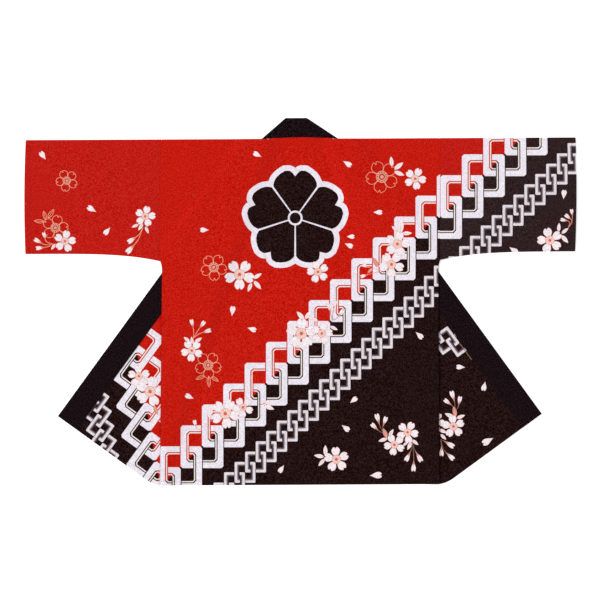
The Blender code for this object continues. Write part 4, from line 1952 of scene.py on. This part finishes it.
RIGHT_SLEEVE_MOTIFS = (
    Petal(606.9, 248.3, 265, 21.3),
    Petal(492.7, 119.5, 144, 23),
    Bud(608.5, 188.9, 168, 617.5, 170.4, 18, Dye.SALMON),
    Bud(617.3, 195.7, 140, 617.5, 170.4, 19, Dye.SALMON),
    Bud(625.2, 205.8, 98, 617.5, 170.4, 17, Dye.SALMON),
    Leaf(595.6, 162.5, 87, 19.6),
    Leaf(602.7, 158.1, 39.6, 19.2),
    Leaf(602, 153.8, 312.6, 23.5),
    Bloom(576.1, 142.2, 58, 34),
)
LEFT_WING_MOTIFS = (
    Leaf(-338, -240, 290, 22, None, Dye.SALMON),
    Bloom(-373.4, -171.8, 50, 21),
    Bloom(-347.3, -207.2, 69, 4),
)
RIGHT_WING_MOTIFS = (
    Petal(370.4, -150.7, 357, 20.2),
    Petal(424.9, -195, 76.6, 21.4),
    Petal(433.3, -321.4, 29, 28),
    Bud(352.4, -218.1, 107, 357, -253, 24.8, Dye.TWIG),
    Bud(341, -232.1, 142.3, 357, -253, 21.2, Dye.TWIG),
    Bud(367.5, -229.3, 79, 357, -253, 22, Dye.TWIG),
    Leaf(358.8, -264.7, 101, 22.7, None, Dye.SALMON),
    Leaf(356, -267.5, 156.4, 23.7),
    Leaf(360.9, -269, 20.6, 20.4),
    Leaf(320, -294.5, 336, 20),
    Bloom(312, -277, 44, -10),
    Leaf(324.1, -306, 316, 17.5),
    Bud(343.6, -328.5, 328.4, 323.9, -318.1, 26.5, Dye.TWIG),
    Bud(345.6, -356.3, 318, 323.9, -318.1, 24, Dye.TWIG),
    Bud(326.2, -344.7, 270, 323.9, -318.1, 23, Dye.TWIG),
    Bloom(353.7, -287.8, 51, 24),
)

# Soft ridges in each panel, in mm and degrees.
BACK_RISES = (
    Rise(-150, 290, 72, 90, 16, 0.45),
    Rise(60, 10, 84, 150, 20, 0.40),
    Rise(-70, -240, 96, 130, 17, 0.45),
    Rise(150, -160, 78, 120, 15, 0.35),
    Rise(-240, 120, 50, 70, 13, 0.40),
    Rise(230, 150, 128, 75, 13, 0.40),
    Rise(-10, -350, 90, 60, 14, 0.35),
    Rise(160, 300, 104, 70, 15, 0.35),
)
SLEEVE_RISES = (
    Rise(360, 150, 40, 60, 10, 0.50),
    Rise(395, 185, 33, 80, 12, 0.40),
    Rise(520, 300, 8, 90, 14, 0.40),
    Rise(560, 190, 96, 60, 12, 0.35),
)
WING_RISES = (
    Rise(400, -210, 118, 90, 12, 0.35),
    Rise(430, -290, 38, 60, 11, 0.35),
    Rise(340, -60, 112, 80, 9, 0.30),
)


def draw_all(sheet: Print, motifs: Iterable[Motif]) -> None:
    """Lays down motifs in order."""
    for motif in motifs:
        motif.draw(sheet)


def back_print() -> Print:
    """The back's print: red over black, parted by the big chain, with the small one below it."""
    sheet = Print(Dye.RED)
    big = Chain(BIG_CHAIN, 118.0, 3.0, -10, 5, above=Dye.RED)
    big.part_ground(sheet, Dye.BLACK, GROUND_REACH, GROUND_LAP)
    Chain(SMALL_CHAIN, 287.0, 12.0, -19, 3).draw(sheet)
    big.draw(sheet)
    Crest(-12.0, 194.0).draw(sheet)
    draw_all(sheet, BACK_MOTIFS)
    return sheet


def sleeve_print(side: int) -> Print:
    """A sleeve's print: plain red on the left, and the two chains on the right."""
    sheet = Print(Dye.SLEEVE_RED)
    if side > 0:
        big = Chain(BIG_CHAIN, 126.4, 2.0, 4, 11, above=Dye.SLEEVE_RED, below=Dye.SLEEVE_BLACK)
        big.part_ground(sheet, Dye.SLEEVE_BLACK, GROUND_REACH, GROUND_LAP)
        small = replace(SMALL_CHAIN, step=(24.99, 23.81))
        Chain(small, 566.0, 271.5, -9, 4, above=Dye.SLEEVE_BLACK, below=Dye.SLEEVE_BLACK).draw(sheet)
        big.draw(sheet)
    draw_all(sheet, RIGHT_SLEEVE_MOTIFS if side > 0 else LEFT_SLEEVE_MOTIFS)
    return sheet


def wing_print(side: int) -> Print:
    """A front's print: both chains on the left, and a fragment of the small one on the right."""
    sheet = Print(Dye.BLACK)
    slope = (math.cos(2 * FOLD_ANGLE), math.sin(2 * FOLD_ANGLE))
    if side < 0:
        along, up = (-slope[0], slope[1]), (slope[1], slope[0])
        big = Chain(BIG_CHAIN, -359.0, -231.6, -4, 4, along, up, above=Dye.RED)
        big.part_ground(sheet, Dye.RED, -WING_GROUND_REACH, -GROUND_LAP)
        Chain(SMALL_CHAIN, -468.6, -257.9, -3, 5, along, up).draw(sheet)
        big.draw(sheet)
    else:
        Chain(SMALL_CHAIN, 334.5, -89.5, -1, 1, slope, (slope[1], -slope[0])).draw(sheet)
        line = [Vector((369.0, -97.1)) * MM, Vector((395.6, -133.2)) * MM]
        sheet.dye(stroke(line, TWIG_LINE, TWIG_LINE), Dye.TWIG)
    draw_all(sheet, RIGHT_WING_MOTIFS if side > 0 else LEFT_WING_MOTIFS)
    return sheet


def mirrored_rises(rises: Sequence[Rise], side: int) -> list[Rise]:
    """The ridges of the right panel, turned over for the left one."""
    if side > 0:
        return list(rises)
    return [rise._replace(x=-rise.x, turn=180 - rise.turn, height=rise.height * 0.9) for rise in rises]


def word_of(side: int) -> str:
    """The word for the wearer's right or left."""
    return "right" if side > 0 else "left"


def build_back() -> None:
    """The back with its hem stitching."""
    panel = BackPanel(
        "back_cloth", "back", "printed_red", back_print(), BACK_RISES,
        (2 * BODY_HALF_WIDTH + 2 * ROLL, BODY_LENGTH + 2 * SHOULDER_TURN),
        rests_on=("front_left_cloth", "front_right_cloth"),
    )
    piece = panel.build()
    reach, height = BODY_HALF_WIDTH - BACK_STITCH_INSET, HEM_Y + HEM_LINES[-1]
    line = panel.sewn([Vector((-reach, height)), Vector((reach, height))])
    stitches = Stitching("back_hem_stitches", [line], BLACK_THREAD, "printed_red")
    panel.declare(piece, [stitches.build()])


def build_front(side: int) -> None:
    """A front with its hem stitching."""
    word = word_of(side)
    panel = FrontPanel(
        f"front_{word}_cloth", f"front_{word}", "printed_black", wing_print(side),
        mirrored_rises(WING_RISES, side), (BODY_HALF_WIDTH - NECK_HALF_WIDTH, BODY_LENGTH), side,
        rests_on=("floor",), held="folded",
    )
    piece = panel.build()
    start = SEAM_CORNER + WING_UP * HEM_LINES[-1] - WING_ALONG * STITCH_INSET
    line = panel.sewn(mirrored([start, start - WING_ALONG * FRONT_STITCH_RUN], side))
    stitches = Stitching(f"front_{word}_hem_stitches", [line], BLACK_THREAD, "printed_black")
    panel.declare(piece, [stitches.build()])


def build_sleeve(side: int) -> None:
    """A sleeve with its cuff stitching."""
    word = word_of(side)
    panel = SleevePanel(
        f"sleeve_{word}_cloth", f"sleeve_{word}", "printed_red", sleeve_print(side),
        mirrored_rises(SLEEVE_RISES, side),
        (SLEEVE_REACH - BODY_HALF_WIDTH, 2 * ARMHOLE_DEPTH), side, rests_on=("floor",), held="folded",
    )
    piece = panel.build()
    x = panel.end - HEM_DEPTH + HEM_EASE
    ends = (sleeve_low(x) + STITCH_INSET, TURN_Y - STITCH_INSET)
    lines = [
        panel.sewn([Vector((side * x, y)) for y in ends]),
        panel.sewn([Vector((side * x, 2 * SLEEVE_FOLD - y)) for y in ends]),
    ]
    thread = RED_THREAD if side < 0 else BLACK_THREAD
    stitches = Stitching(f"cuff_{word}_stitches", lines, thread, "printed_red")
    panel.declare(piece, [stitches.build()])


def build_collar() -> None:
    """The collar band with the stitching along its seam."""
    band = CollarBand()
    piece = band.build()
    line = []
    for station in band.stations():
        across = (station.free - station.seam).normalized()
        plan = station.seam + across * COLLAR_STITCH_INSET
        line.append(Vector((plan.x, plan.y, station.thick)))
    stitches = Stitching("collar_stitches", [line], BLACK_THREAD, "collar_black").build()
    band.length()


def settle() -> None:
    """Lets every piece of cloth and stitching slip with the settled coat."""
    for piece in bpy.context.scene.objects:
        if piece.name.endswith(("_cloth", "_stitches")):
            piece.data.transform(SETTLE)


def main() -> None:
    """Builds the coat piece by piece, and then the studio round it."""
    logging.basicConfig(level=logging.INFO, format="%(name)s: %(message)s")
    weave_group()
    mottle_group()
    for side in (-1, 1):
        build_front(side)
    build_back()
    for side in (-1, 1):
        build_sleeve(side)
    build_collar()
    settle()
    Studio().build()


if __name__ == "__main__":
    main()
